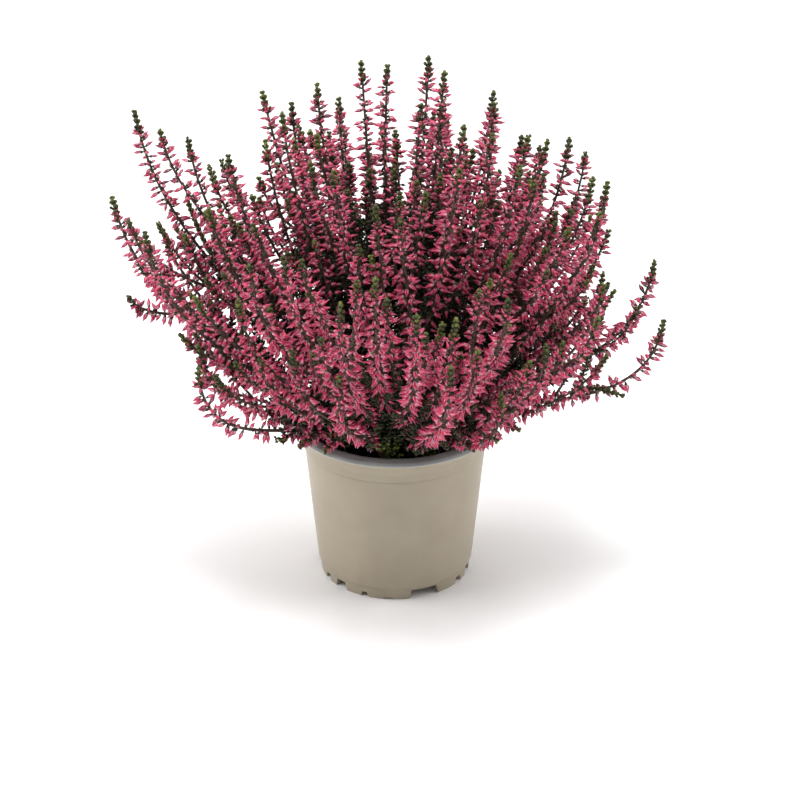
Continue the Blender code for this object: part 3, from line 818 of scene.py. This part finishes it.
# Crumbs: rough balls of twelve corners, each corner pushed in or out at random, half sunk in the soil.
def strewCrumbs(rng, reach, finish):
    count = soilShape["crumbs"]
    corners, faces = ball()
    radius = reach * 0.97 * np.sqrt(rng.uniform(0.05, 1.0, count))
    turn = rng.uniform(0.0, math.tau, count)
    least, most = soilShape["crumbSizes"]
    size = least + rng.uniform(0.0, 1.0, count) ** 2.2 * (most - least)
    place = around(radius, turn, bush["soilTop"] + 0.3 * size)
    rough = rng.uniform(*soilShape["crumbRough"], (count, len(corners), 1))
    squash = rng.uniform(*soilShape["crumbSquash"], (count, 1, 3))
    points = place[:, None] + size[:, None, None] * corners[None] * rough * squash
    pile = newPile()
    put(pile, points, [repeatFaces(faces, len(corners), count)], 0, luck=rng.uniform(0, 1, (count, 1)))
    seat(makePiece("peatCrumbs", pile, [finish], smooth=False), "peat_soil")


# The twelve corners and twenty faces of an icosahedron: two rings of five, half a step apart, and two poles.
def ball():
    turn = math.tau * np.arange(5) / 5
    level, wide = 1 / math.sqrt(5), 2 / math.sqrt(5)
    upper, lower = around(wide, turn, level), around(wide, turn + math.pi / 5, -level)
    corners = np.vstack([upper, lower, upright, -upright])
    here = np.arange(5)
    right = (here + 1) % 5
    faces = np.vstack([
        np.stack([here, right, np.full(5, 10)], axis=-1),
        np.stack([right, here, here + 5], axis=-1),
        np.stack([right, here + 5, right + 5], axis=-1),
        np.stack([right + 5, here + 5, np.full(5, 11)], axis=-1),
    ])
    return corners, faces


# One shape's faces, counted on for each copy.
def repeatFaces(faces, points, count):
    return (faces[None] + points * np.arange(count)[:, None, None]).reshape(-1, faces.shape[1])


# Damp peat: nearly black, with browner fibres and a rough grain.
def peat():
    made, tree, shader = newFinish("peat", 0.92)
    fibres = noise(tree, 420.0, 5.0)
    colour = ramp(tree, fibres, (0.35, (9, 8, 6)), (0.62, (20, 16, 12)), (0.82, (44, 34, 25)))
    tree.links.new(colour, shader.inputs["Base Color"])
    raiseBy(tree, shader, noise(tree, 1500.0, 4.0), 0.0004, 0.9)
    return made


# A spindle: rings of corners between two poles, with every second corner drawn in by a fold, all bent by the
# square of the length. Its margin is 1 on the folds, or one value all over.
def spindle(profile, sides, fold=0.0, bend=0.0, margin=None):
    along, radius = np.array(profile[1:-1]).T
    turn = math.tau * np.arange(sides) / sides
    folded = np.arange(sides) % 2
    reach = radius[:, None] * (1.0 - fold * folded)
    rings = around(reach, turn, along[:, None])
    points = np.vstack([rings.reshape(-1, 3), [[0, 0, profile[0][0]], [0, 0, profile[-1][0]]]])
    points[:, 0] -= bend * points[:, 2] ** 2
    # On buds, margin 1 on the folds gives them the pale colour of the sepals' margins, partly painted
    # highlight.
    if margin is None:
        margin = np.concatenate([np.tile(1.0 * folded, len(along)), [0.5, 0.6]])
    faces = ringFaces(len(along), sides)
    margins = np.broadcast_to(margin, len(points))
    return {"points": points, "faces": faces, "along": points[:, 2].copy(), "margin": margins}


# Copies of a shape, each standing on its own place along w, with u and v across it.
def putCopies(pile, shape, places, axes, widths, lengths, finish, luck):
    u, v, w = (axis[:, None] for axis in axes)
    x, y, z = (shape["points"][None, :, axis, None] for axis in range(3))
    points = places[:, None] + widths[:, None, None] * (x * u + y * v) + lengths[:, None, None] * z * w
    faces = [repeatFaces(block, len(shape["points"]), len(places)) for block in shape["faces"]]
    put(pile, points, faces, finish, shape["along"][None], luck[:, None], shape["margin"][None])


# Direction square to the path, carried along it without twist.
def carriedSides(path):
    sides = np.empty_like(path)
    side = np.array((1.0, 0.0, 0.0))
    for index, way in enumerate(waysAlong(path)):
        side = unit(side - way * (side @ way))
        sides[index] = side
    return sides


# Centre, direction, side and cross direction of a path at wanted lengths.
def framesAt(path, sides, places):
    way = unit(readAlong(path, waysAlong(path), places))
    side = readAlong(path, sides, places)
    side = unit(side - way * (side * way).sum(axis=-1, keepdims=True))
    return readAlong(path, path, places), way, side, np.cross(way, side)


# What grows at turns round a path: it stands out, raised towards the tip and pulled down by its weight. Gives
# the direction straight out, then two directions across what grows and one along it.
def standing(frames, turns, rises, weight=0.0):
    centre, way, side, across = frames
    outward = np.cos(turns)[:, None] * side + np.sin(turns)[:, None] * across
    w = np.cos(rises)[:, None] * outward + np.sin(rises)[:, None] * way
    w = unit(w - upright * np.broadcast_to(weight, len(turns))[:, None])
    u = unit(way - w * (way * w).sum(axis=-1, keepdims=True) + 1e-6 * side)
    return outward, (u, np.cross(w, u), w)


# A tube along a path whose radius follows the given values. A pole a little beyond each end closes it.
def putTube(pile, path, sides, radii, corners=6):
    way = waysAlong(path)
    across = np.cross(way, sides)
    turn = math.tau * np.arange(corners) / corners
    ring = np.cos(turn)[None, :, None] * sides[:, None] + np.sin(turn)[None, :, None] * across[:, None]
    rings = path[:, None] + radii[:, None, None] * ring
    ends = np.vstack([path[0] - 0.2 * radii[0] * way[0], path[-1] + radii[-1] * way[-1]])
    along = np.concatenate([np.repeat(np.linspace(0.0, 1.0, len(path)), corners), [0.0, 1.0]])
    put(pile, np.vstack([rings.reshape(-1, 3), ends]), ringFaces(len(path), corners), bark, along)


# Points that lie in the pot's wall, in its lip or in the soil.
def inThePot(points):
    radius, height = np.hypot(points[:, 0], points[:, 1]), points[:, 2]
    overLip = (radius > potShape["lipRadius"] - 0.0095) & (radius < potShape["lipRadius"] + 0.0006)
    inSoil = (radius < 0.052) & (height < bush["soilTop"])
    return (overLip & (height < potShape["lipTop"] + 0.0006)) | inSoil


# The finishes of a branch, in the order in which its piece has them.
petal, leaf, bark = 0, 1, 2

# A flowering spray: a slim stem, clusters of buds on short stalks, then young ones and a green leafy tip.
spray = {
    "stemBase": 0.00060,
    "stemTip": 0.00062,
    "stemPoint": (0.9, 0.7, 0.45),
    "leafyLength": (0.0070, 0.0115),
    "leafyBelow": 0.004,
    "leafyGreen": (0.25, 0.60),
    # sprays whose tips are below the first height are low ones, in full the second further down
    "low": (0.27, 0.09),
    "youngLength": 0.0065,
    "youngPitch": 0.0016,
    "pitch": 0.0030,
    "pitchLoss": 0.0006,
    "fullBelow": 0.050,
    "each": 3,
    "gap": 0.06,
    "lowGap": 0.30,
    # how far buds wander along the stem and round it
    "wander": (0.0011, 0.35),
    # a bud's rise in degrees at the tip, its loss while young and while it grows, and its chance in radians
    "rise": (50.0, 16.0, 30.0, 0.26),
    # pull of the weight, by growth and by chance
    "weight": (0.22, 0.22),
    "scale": 0.94,
    "lowSmaller": 0.02,
    # a bud's size at the tip, and what it gains while young and while it grows
    "size": (0.36, 0.44, 0.14),
    "stalk": (0.0014, 0.0024),
    "cupRadius": 0.00105,
    "cupDepth": 0.0011,
    "budLength": 0.0066,
    "budWidth": 0.00134,
    "budFold": 0.24,
    "budBend": 0.30,
    "lowWider": 0.16,
    # freshness at the tip, gained by growth, taken off near the dark inside as painted shade, and its chance
    "luck": (0.44, 0.24, 0.40, 0.24),
    # over this much depth outside the dark inside, the painted shade of the buds fades out
    "shadeEdge": 0.6,
    # the dark inside: its middle's height above the crown and set back from it, half width and height
    "core": (0.0, 0.016, 0.059, 0.110),
    # buds thin out over this much depth outside it, from the first height on, in full the second higher up
    "coreEdge": 0.50,
    "edgeFrom": (0.112, 0.028),
    "insideLeaf": (0.0046, 0.0011),
    # buds may cross this far over to another stem
    "crossing": 0.0022,
    "scaleLength": 0.0026,
    "scaleWidth": 0.00070,
}

budShape = spindle(((0.0, 0), (0.16, 0.86), (0.44, 0.98), (1.0, 0)), 6, spray["budFold"], spray["budBend"])
leafShape = spindle(((-0.05, 0), (0.20, 0.70), (0.78, 1.0), (1.0, 0)), 4, 0.0, -0.35, 0.0)
innerShape = spindle(((0.0, 0), (0.55, 1.0), (1.0, 0)), 3, 0.0, -0.3, 0.0)
cupShape = spindle(((0.0, 0), (0.78, 1.0), (1.0, 0)), 5, 0.0, 0.0, 1.0)
scaleShape = spindle(((0.0, 0), (0.45, 1.0), (1.0, 0)), 3, 0.0, -0.3, 1.0)


# Lengths down from a spray's tip where clusters of buds stand: close while young, and closer again far down.
def budPlaces(total, leafy, flowersFrom):
    young = leafy + np.arange(0.0, spray["youngLength"], spray["youngPitch"])
    step = np.arange(1, 90)
    full = young[-1] + spray["pitch"] * step - spray["pitchLoss"] * np.minimum(step, 20) * step / 40
    below = np.concatenate([young, full])
    return below[total - below > flowersFrom]


# How far out points lie: 1 on an upright ellipsoid set back a little from the crown. Inside, it is too dark
# for flowers.
def outOfTheCore(points):
    raised, back, wide, high = spray["core"]
    away = (points - bush["crown"] - np.array([0.0, back, raised])) / np.array([wide, wide, high])
    return np.linalg.norm(away, axis=-1)


# Buds on stalks, each in a dark cup. They grow longer down the spray, and lower sprays have wider, slightly
# shorter ones.
def putBuds(pile, rng, path, sides, leafy, flowersFrom, owner):
    total = lengthsAlong(path)[-1]
    below = budPlaces(total, leafy, flowersFrom)
    count, each = len(below), spray["each"]
    if count == 0:
        return
    many = count * each
    low = np.clip((spray["low"][0] - path[-1][2]) / spray["low"][1], 0.0, 1.0)
    young = np.repeat(np.clip((below - leafy) / spray["youngLength"], 0.0, 1.0), each)
    grown = np.repeat(np.clip((below - leafy) / spray["fullBelow"], 0.0, 1.0), each)
    wander, turning = spray["wander"]
    below = np.repeat(below, each) + rng.uniform(-wander, wander, many)
    step = math.pi / each
    turns = np.repeat(step * np.arange(count), each) + np.tile(2 * step * np.arange(each), count)
    turns = turns + rng.normal(0.0, turning, many)
    first, youngLoss, loss, chance = spray["rise"]
    rises = np.radians(first - youngLoss * young - loss * grown) + rng.normal(0.0, chance, many)
    weight = spray["weight"][0] * grown + rng.uniform(0.0, spray["weight"][1], many)
    frames = framesAt(path, sides, total - below)
    _, axes = standing(frames, turns, rises, weight)
    scale = (spray["scale"] - spray["lowSmaller"] * low) * rng.uniform(0.94, 1.06)
    first, youngGain, gain = spray["size"]
    size = scale * (first + youngGain * young + gain * grown) * rng.uniform(0.84, 1.14, many)
    stalk = rng.uniform(*spray["stalk"], many) * (0.45 + 0.55 * young)
    lengths = spray["budLength"] * size
    places = frames[0] + stalk[:, None] * axes[2]
    ends = places + lengths[:, None] * axes[2]
    depth = outOfTheCore(ends)
    above = np.clip((ends[:, 2] - spray["edgeFrom"][0]) / spray["edgeFrom"][1], 0.0, 1.0)
    dark = depth < 1.0 + spray["coreEdge"] * above * rng.uniform(0.0, 1.0, many)
    present = rng.uniform(0.0, 1.0, many) > spray["gap"] + spray["lowGap"] * low * grown
    keep = present & ~inThePot(ends) & nearestIs(ends, frames[0], owner) & ~dark
    # Buds high up near the dark inside get a lower luck, which darkens their colour: painted shade.
    shaded = above * np.clip((1.0 + spray["shadeEdge"] - depth) / spray["shadeEdge"], 0.0, 1.0)
    first, gain, loss, chance = spray["luck"]
    luck = np.clip(first + gain * grown - loss * shaded + rng.normal(0.0, chance, many), 0.0, 1.0)
    widths = spray["budWidth"] * (0.25 + 0.75 * size + spray["lowWider"] * low)
    widths = widths * rng.uniform(0.88, 1.14, many)
    keptAxes = tuple(axis[keep] for axis in axes)
    putCopies(pile, budShape, places[keep], keptAxes, widths[keep], lengths[keep], petal, luck[keep])
    deep = (stalk + spray["cupDepth"] * (0.5 + 0.5 * young))[keep]
    wide = (spray["cupRadius"] * (0.55 + 0.45 * size) * rng.uniform(0.85, 1.15, many))[keep]
    putCopies(pile, cupShape, frames[0][keep], keptAxes, wide, deep, leaf, rng.uniform(0.0, 1.0, len(deep)))
    kept = np.flatnonzero(keep)[::2]
    putScales(pile, rng, tuple(part[kept] for part in frames), turns[kept], rises[kept])
    inside = dark & ~inThePot(ends)
    putInsideLeaves(pile, rng, frames[0][inside], tuple(axis[inside] for axis in axes))


# Dark leaves stand where buds are left out. Their near-black green is partly painted shade of the bush's
# inside.
def putInsideLeaves(pile, rng, places, axes):
    length, width = spray["insideLeaf"]
    lengths = length * rng.uniform(0.8, 1.3, len(places))
    shade = rng.uniform(0.0, 0.25, len(places))
    putCopies(pile, innerShape, places, axes, np.full(len(places), width), lengths, leaf, shade)


# A scale leaf lies along the stem at the foot of every second stalk.
def putScales(pile, rng, frames, turns, rises):
    count = len(turns)
    raised = rises + 0.8 + rng.normal(0.0, 0.15, count)
    outward, axes = standing(frames, turns + rng.normal(0.0, 0.6, count), raised)
    lengths = spray["scaleLength"] * rng.uniform(0.75, 1.2, count)
    widths = spray["scaleWidth"] * rng.uniform(0.8, 1.2, count)
    places = frames[0] + skin * outward
    putCopies(pile, scaleShape, places, axes, widths, lengths, leaf, rng.uniform(0.0, 1.0, count))


# Kinds of leaves: the step between pairs, a leaf's length and half its width, its rise in degrees at the
# start of a stretch and at its end, and its shape. They stand on the stem's skin, this far from its middle.
skin = 0.0003
leafKinds = {
    "tip": (0.0013, 0.0032, 0.00098, (40.0, 62.0), leafShape),
    "stem": (0.0026, 0.0024, 0.0006, (35.0, 45.0), leafShape),
    "twig": (0.0017, 0.0040, 0.0011, (28.0, 62.0), innerShape),
    "leafySpray": (0.0015, 0.0032, 0.0009, (38.0, 60.0), leafShape),
    "shoot": (0.0014, 0.0030, 0.0009, (30.0, 66.0), leafShape),
}


# Leaves in opposite pairs from one length along a path to another, each pair a quarter turn from the last.
def putLeaves(pile, rng, path, sides, start, end, kind, green):
    pitch, length, width, (firstRise, lastRise), shape = leafKinds[kind]
    count = max(2, int((end - start) / pitch))
    many = 2 * count
    places = np.repeat(np.linspace(start, end, count), 2)
    turns = np.repeat(np.arange(count) * math.pi / 2, 2) + np.tile([0.0, math.pi], count)
    frames = framesAt(path, sides, places)
    toTip = np.clip((places - start) / max(end - start, 1e-6), 0.0, 1.0)
    rises = np.radians(firstRise + (lastRise - firstRise) * toTip) + rng.normal(0.0, 0.12, many)
    outward, axes = standing(frames, turns + rng.normal(0.0, 0.15, many), rises)
    lengths = length * rng.uniform(0.82, 1.15, many) * (1.0 - 0.30 * toTip**4)
    feet = frames[0] + skin * outward
    keep = ~inThePot(feet + lengths[:, None] * axes[2])
    luck = np.clip(green + rng.normal(0.0, 0.12, many) + 0.25 * toTip, 0.0, 1.0)
    widths = width * rng.uniform(0.85, 1.2, many)
    keptAxes = tuple(axis[keep] for axis in axes)
    putCopies(pile, shape, feet[keep], keptAxes, widths[keep], lengths[keep], leaf, luck[keep])


# Side twigs with small leaves, which fill the bush below the flowers: the step between them, their lengths,
# how far they wander round the stem and lean forward along it, and how green they are.
twigs = {
    "every": 0.0034,
    "start": 0.003,
    "length": (0.012, 0.024),
    "wander": 0.5,
    "forward": 0.5,
    # low, for a near-black green that is partly painted shade of the bush's inside
    "green": 0.08,
    "radii": (0.00034, 0.00024),
}

# The twigs of a leafy shoot.
shootTwigs = {
    "count": 10,
    "length": (0.006, 0.011),
    "wander": 0.4,
    "forward": 0.4,
    "green": 0.84,
}


# One twig: a cubic curve that leaves in a direction and turns up, with leaves from a tenth of its length on.
def putTwig(pile, rng, start, way, length, green):
    first = start + 0.3 * length * way
    last = start + 0.5 * length * way + 0.1 * length * upright
    tip = start + 0.78 * length * way + 0.45 * length * upright
    path = bezier(start, first, last, tip)
    sides = carriedSides(path)
    total = lengthsAlong(path)[-1]
    putTube(pile, path[::2], sides[::2], np.linspace(*twigs["radii"], len(path[::2])), 3)
    putLeaves(pile, rng, path, sides, 0.1 * total, total, "twig", green)


# Twigs at given lengths along a path, each 2.4 radians round from the last.
def putTwigs(pile, rng, path, sides, places, kind):
    centre, way, side, across = framesAt(path, sides, places)
    for index in range(len(places)):
        turn = 2.4 * index + rng.uniform(-kind["wander"], kind["wander"])
        out = math.cos(turn) * side[index] + math.sin(turn) * across[index]
        length = rng.uniform(*kind["length"])
        leaving = unit(out + kind["forward"] * way[index])
        if not inThePot((centre[index] + length * leaving)[None])[0]:
            putTwig(pile, rng, centre[index], leaving, length, kind["green"])


# True where a bud's end lies nearer to its own stem's line than to any other, give or take a bud's width.
def nearestIs(ends, feet, owner):
    own = np.linalg.norm(ends - feet, axis=1)
    other = [lineTree.find(end, filter=lambda index: lineOwner[index] != owner)[2] for end in ends]
    return own < np.array(other) + spray["crossing"]


# The stem, a tube that tapers to its tip, with the leafy tip and the buds on it.
def putSpray(pile, rng, path, flowersFrom, owner, thick, green=None):
    sides = carriedSides(path)
    total = lengthsAlong(path)[-1]
    taper = np.linspace(0.0, 1.0, len(path[::2]))
    radii = (spray["stemBase"] * thick) * (1 - taper) ** 0.8 + spray["stemTip"]
    radii[-3:] *= spray["stemPoint"]
    putTube(pile, path[::2], sides[::2], radii, 5 if thick > 0.5 else 4)
    leafy = green or rng.uniform(*spray["leafyLength"])
    shade = rng.uniform(*spray["leafyGreen"])
    putLeaves(pile, rng, path, sides, total - leafy - spray["leafyBelow"], total - 0.0010, "tip", shade)
    putBuds(pile, rng, path, sides, leafy, flowersFrom, owner)
    return sides


# The petals: pale at the foot, at the point and along their margins, deep pink to crimson between. The pale
# parts are partly the petals' own pale margins and partly painted highlight.
def petalFinish():
    made, tree, shader = newFinish("heatherPetal", 0.36)
    along, luck, margin = (readNumber(tree, name) for name in ("along", "luck", "margin"))
    body = ramp(tree, along, (0.0, (246, 200, 210)), (0.20, (240, 116, 154)), (0.38, (214, 26, 78)),
                (0.74, (190, 16, 66)), (0.88, (218, 88, 130)), (1.0, (255, 230, 236)))
    # Pale foot, margins and point: partly the petals' own colour, partly painted highlight.
    paleAndHighlight = ramp(tree, along, (0.0, (255, 246, 244)), (0.30, (255, 200, 214)), (0.52, (240, 84, 130)),
                (0.80, (240, 112, 154)), (1.0, (255, 240, 244)))
    shown = ramp(tree, margin, (0.34, (0, 0, 0)), (0.9, (255, 255, 255)))
    # Low luck multiplies the pinks and their pale parts darker and purpler: partly a varied tone, partly
    # painted shade near the dark inside.
    shadeAndFreshness = ramp(tree, luck, (0.0, (120, 84, 118)), (0.3, (194, 160, 194)), (0.6, (244, 238, 246)),
               (1.0, (255, 255, 255)))
    paler = ramp(tree, luck, (0.0, (176, 160, 168)), (0.5, (240, 236, 238)), (1.0, (255, 255, 255)))
    body = mixColours(tree, "MULTIPLY", 1.0, body, shadeAndFreshness)
    paleAndHighlight = mixColours(tree, "MULTIPLY", 1.0, paleAndHighlight, paler)
    colour = mixColours(tree, "MIX", shown, body, paleAndHighlight)
    colour = speckle(tree, colour, 1400.0, 2.0, (190, 170, 180), 0.5)
    tree.links.new(colour, shader.inputs["Base Color"])
    return made


# Leaves: green ones by luck, from the dark inside to the tips, and reddish brown cups and scales. The
# near-black greens at low luck are partly painted shade of the bush's inside.
def leafFinish():
    made, tree, shader = newFinish("heatherLeaf", 0.62)
    along, luck, brown = (readNumber(tree, name) for name in ("along", "luck", "margin"))
    green = ramp(tree, luck, (0.0, (24, 32, 14)), (0.25, (44, 54, 22)), (0.5, (74, 80, 36)),
                 (0.8, (100, 110, 46)), (1.0, (128, 144, 62)))
    brownish = ramp(tree, luck, (0.0, (52, 36, 36)), (0.5, (84, 60, 56)), (0.8, (92, 78, 56)),
                    (1.0, (108, 112, 60)))
    colour = mixColours(tree, "MIX", brown, green, brownish)
    tip = ramp(tree, along, (0.0, (150, 150, 140)), (0.5, (255, 255, 255)), (1.0, (226, 220, 180)))
    colour = mixColours(tree, "MULTIPLY", 0.8, colour, tip)
    colour = speckle(tree, colour, 900.0, 2.0, (190, 190, 180), 0.6)
    tree.links.new(colour, shader.inputs["Base Color"])
    return made


# Stems: woody brown low down, purplish among the buds, greener at the tip.
def barkFinish():
    made, tree, shader = newFinish("heatherStem", 0.70)
    along = readNumber(tree, "along")
    colour = ramp(tree, along, (0.0, (58, 42, 30)), (0.4, (84, 64, 54)), (0.85, (98, 76, 70)),
                  (1.0, (92, 92, 50)))
    colour = speckle(tree, colour, 700.0, 3.0, (150, 140, 130), 0.8)
    tree.links.new(colour, shader.inputs["Base Color"])
    raiseBy(tree, shader, noise(tree, 2200.0, 2.0), 0.0002, 0.6)
    return made


# Where a branch's flowers start, how thick its sprays are, and where its twigs and leaves grow.
branch = {
    "leastFlowersFrom": 0.027,
    "sideFlowersFrom": 0.008,
    "sideThick": 0.62,
    "fillerThick": 0.45,
    "twigsFrom": 0.016,
    "twigsPast": 0.034,
    "leavesFrom": 0.014,
    "leavesPast": 0.010,
    # stem leaves take a near-black green, partly painted shade of the bush's inside
    "leafGreen": 0.05,
}


# One branch: its stem, its side spray and its fillers, as one piece.
def makeBranch(index, stem, finishes):
    rng = np.random.default_rng(1000 + index)
    pile = newPile()
    path = stem["path"]
    flowersFrom = max(lengthsAlong(path)[-1] - bush["flowerLength"], branch["leastFlowersFrom"])
    sides = putSpray(pile, rng, path, flowersFrom, stem["owner"], 1.0)
    places = np.arange(branch["twigsFrom"], flowersFrom + branch["twigsPast"], twigs["every"])
    putTwigs(pile, rng, path, sides, places + rng.uniform(0.0, twigs["start"]), twigs)
    leavesTo = flowersFrom + branch["leavesPast"]
    putLeaves(pile, rng, path, sides, branch["leavesFrom"], leavesTo, "stem", branch["leafGreen"])
    if stem["side"]:
        side = stem["side"]
        putSpray(pile, rng, side["path"], branch["sideFlowersFrom"], side["owner"], branch["sideThick"])
    for filler in stem["fillers"]:
        if filler["leafy"]:
            putLeafySpray(pile, rng, filler["path"])
        else:
            putSpray(pile, rng, filler["path"], branch["sideFlowersFrom"], filler["owner"],
                     branch["fillerThick"], filler["green"])
    piece = makePiece(f"heatherBranch{index + 1:02d}", pile, finishes)
    seat(piece, "heather_flowers", f"branch_{index + 1:02d}")


# A side spray without buds: leaves in pairs all along it.
def putLeafySpray(pile, rng, path):
    sides = carriedSides(path)
    total = lengthsAlong(path)[-1]
    putTube(pile, path[::2], sides[::2], np.linspace(*shootLook["radii"], len(path[::2])), 5)
    putLeaves(pile, rng, path, sides, 0.004, total - 0.001, "leafySpray", 0.35)


# A leafy shoot's stem, from its foot to its tip, and where its leaves and its twigs start and end.
shootLook = {
    "radii": (0.0008, 0.0004),
    "leavesFrom": 0.013,
    "leafGreen": 0.80,
    "twigsFrom": 0.012,
    "twigsBelowTip": 0.005,
}


# A leafy shoot: one upright stem and side twigs all round it.
def makeShoot(index, path, finishes):
    rng = np.random.default_rng(3000 + index)
    pile = newPile()
    sides = carriedSides(path)
    total = lengthsAlong(path)[-1]
    putTube(pile, path, sides, np.linspace(*shootLook["radii"], len(path)))
    putLeaves(pile, rng, path, sides, shootLook["leavesFrom"], total, "shoot", shootLook["leafGreen"])
    places = np.linspace(shootLook["twigsFrom"], total - shootLook["twigsBelowTip"], shootTwigs["count"])
    putTwigs(pile, rng, path, sides, places, shootTwigs)
    piece = makePiece(f"leafyShoot{index + 1}", pile, finishes)
    seat(piece, "heather_leaves", f"shoot_{index + 1}")


# Camera, floor and lights. The camera looks down at the plant from in front.
view = {
    "place": (0.0, -1.3170, 0.7680),
    "down": 26.64,
    "aside": 0.123,
    "lens": 115.2,
    "floor": (246, 246, 246),
    "world": 0.34,
    # name, place, aimed at, width, power
    "lights": (
        ("softLeft", (-1.8, -0.1, 1.2), (0.0, 0.0, 0.12), 1.5, 30.0),
        ("softRight", (1.9, 0.1, 1.1), (0.0, 0.0, 0.12), 1.5, 21.0),
        ("softTop", (0.0, 0.8, 2.3), (0.0, 0.1, 0.10), 2.8, 46.0),
        ("keyTop", (-0.05, -0.3, 2.3), (0.0, 0.0, 0.15), 0.6, 24.0),
    ),
}


# A long lens that looks straight ahead from its place, then down and a little aside.
def makeCamera():
    camera = bpy.data.cameras.new("camera")
    camera.lens = view["lens"]
    camera.sensor_width = 36.0
    camera.clip_start = 0.05
    holder = addObject("camera", camera)
    holder.location = view["place"]
    holder.rotation_euler = (math.radians(90.0 - view["down"]), 0.0, math.radians(-view["aside"]))
    bpy.context.scene.camera = holder


# A square floor, four metres out each way.
def makeFloor():
    pile = newPile()
    points = 4.0 * np.array([[-1.0, -1.0, 0.0], [1.0, -1.0, 0.0], [1.0, 1.0, 0.0], [-1.0, 1.0, 0.0]])
    put(pile, points, [np.array([[0, 1, 2, 3]])], 0)
    made, _, shader = newFinish("paleFloor", 0.9)
    shader.inputs["Base Color"].default_value = linear(view["floor"])
    shader.inputs["Specular IOR Level"].default_value = 0.1
    makePiece("floor", pile, [made])


# Each lamp is a square that faces its aim: tilted by the angle from the vertical and turned round to it.
def makeLights():
    for name, place, aim, width, power in view["lights"]:
        light = bpy.data.lights.new(name, "AREA")
        light.shape = "SQUARE"
        light.size = width
        light.energy = power
        holder = addObject(name, light)
        holder.location = place
        away = unit(np.array(place) - np.array(aim))
        turn = math.atan2(away[0], -away[1])
        holder.rotation_euler = (math.acos(away[2]), 0.0, turn)
    world = bpy.data.worlds.new("studio")
    world.use_nodes = True
    background = world.node_tree.nodes["Background"]
    background.inputs["Color"].default_value = (1.0, 1.0, 1.0, 1.0)
    background.inputs["Strength"].default_value = view["world"]
    bpy.context.scene.world = world
    bpy.context.scene.view_settings.view_transform = "Standard"


makeCamera()
makeFloor()
makeLights()
print("camera, floor and lights set")

makePot()
makeSoil()
print("pot and soil made")

stems = planBush()
shootPaths = planShoots(stems)
planFillers(stems)
addExtras(stems)
sprays = numberedSprays(stems)
lineTree, lineOwner = linesOf(sprays)
print("bush planned:", len(sprays), "sprays")

finishes = [petalFinish(), leafFinish(), barkFinish()]
for index, stem in enumerate(stems):
    makeBranch(index, stem, finishes)
print("branches made:", len(stems))

for index, path in enumerate(shootPaths):
    makeShoot(index, path, finishes)
print("leafy shoots made:", len(shootPaths))

bpy.context.view_layer.update()
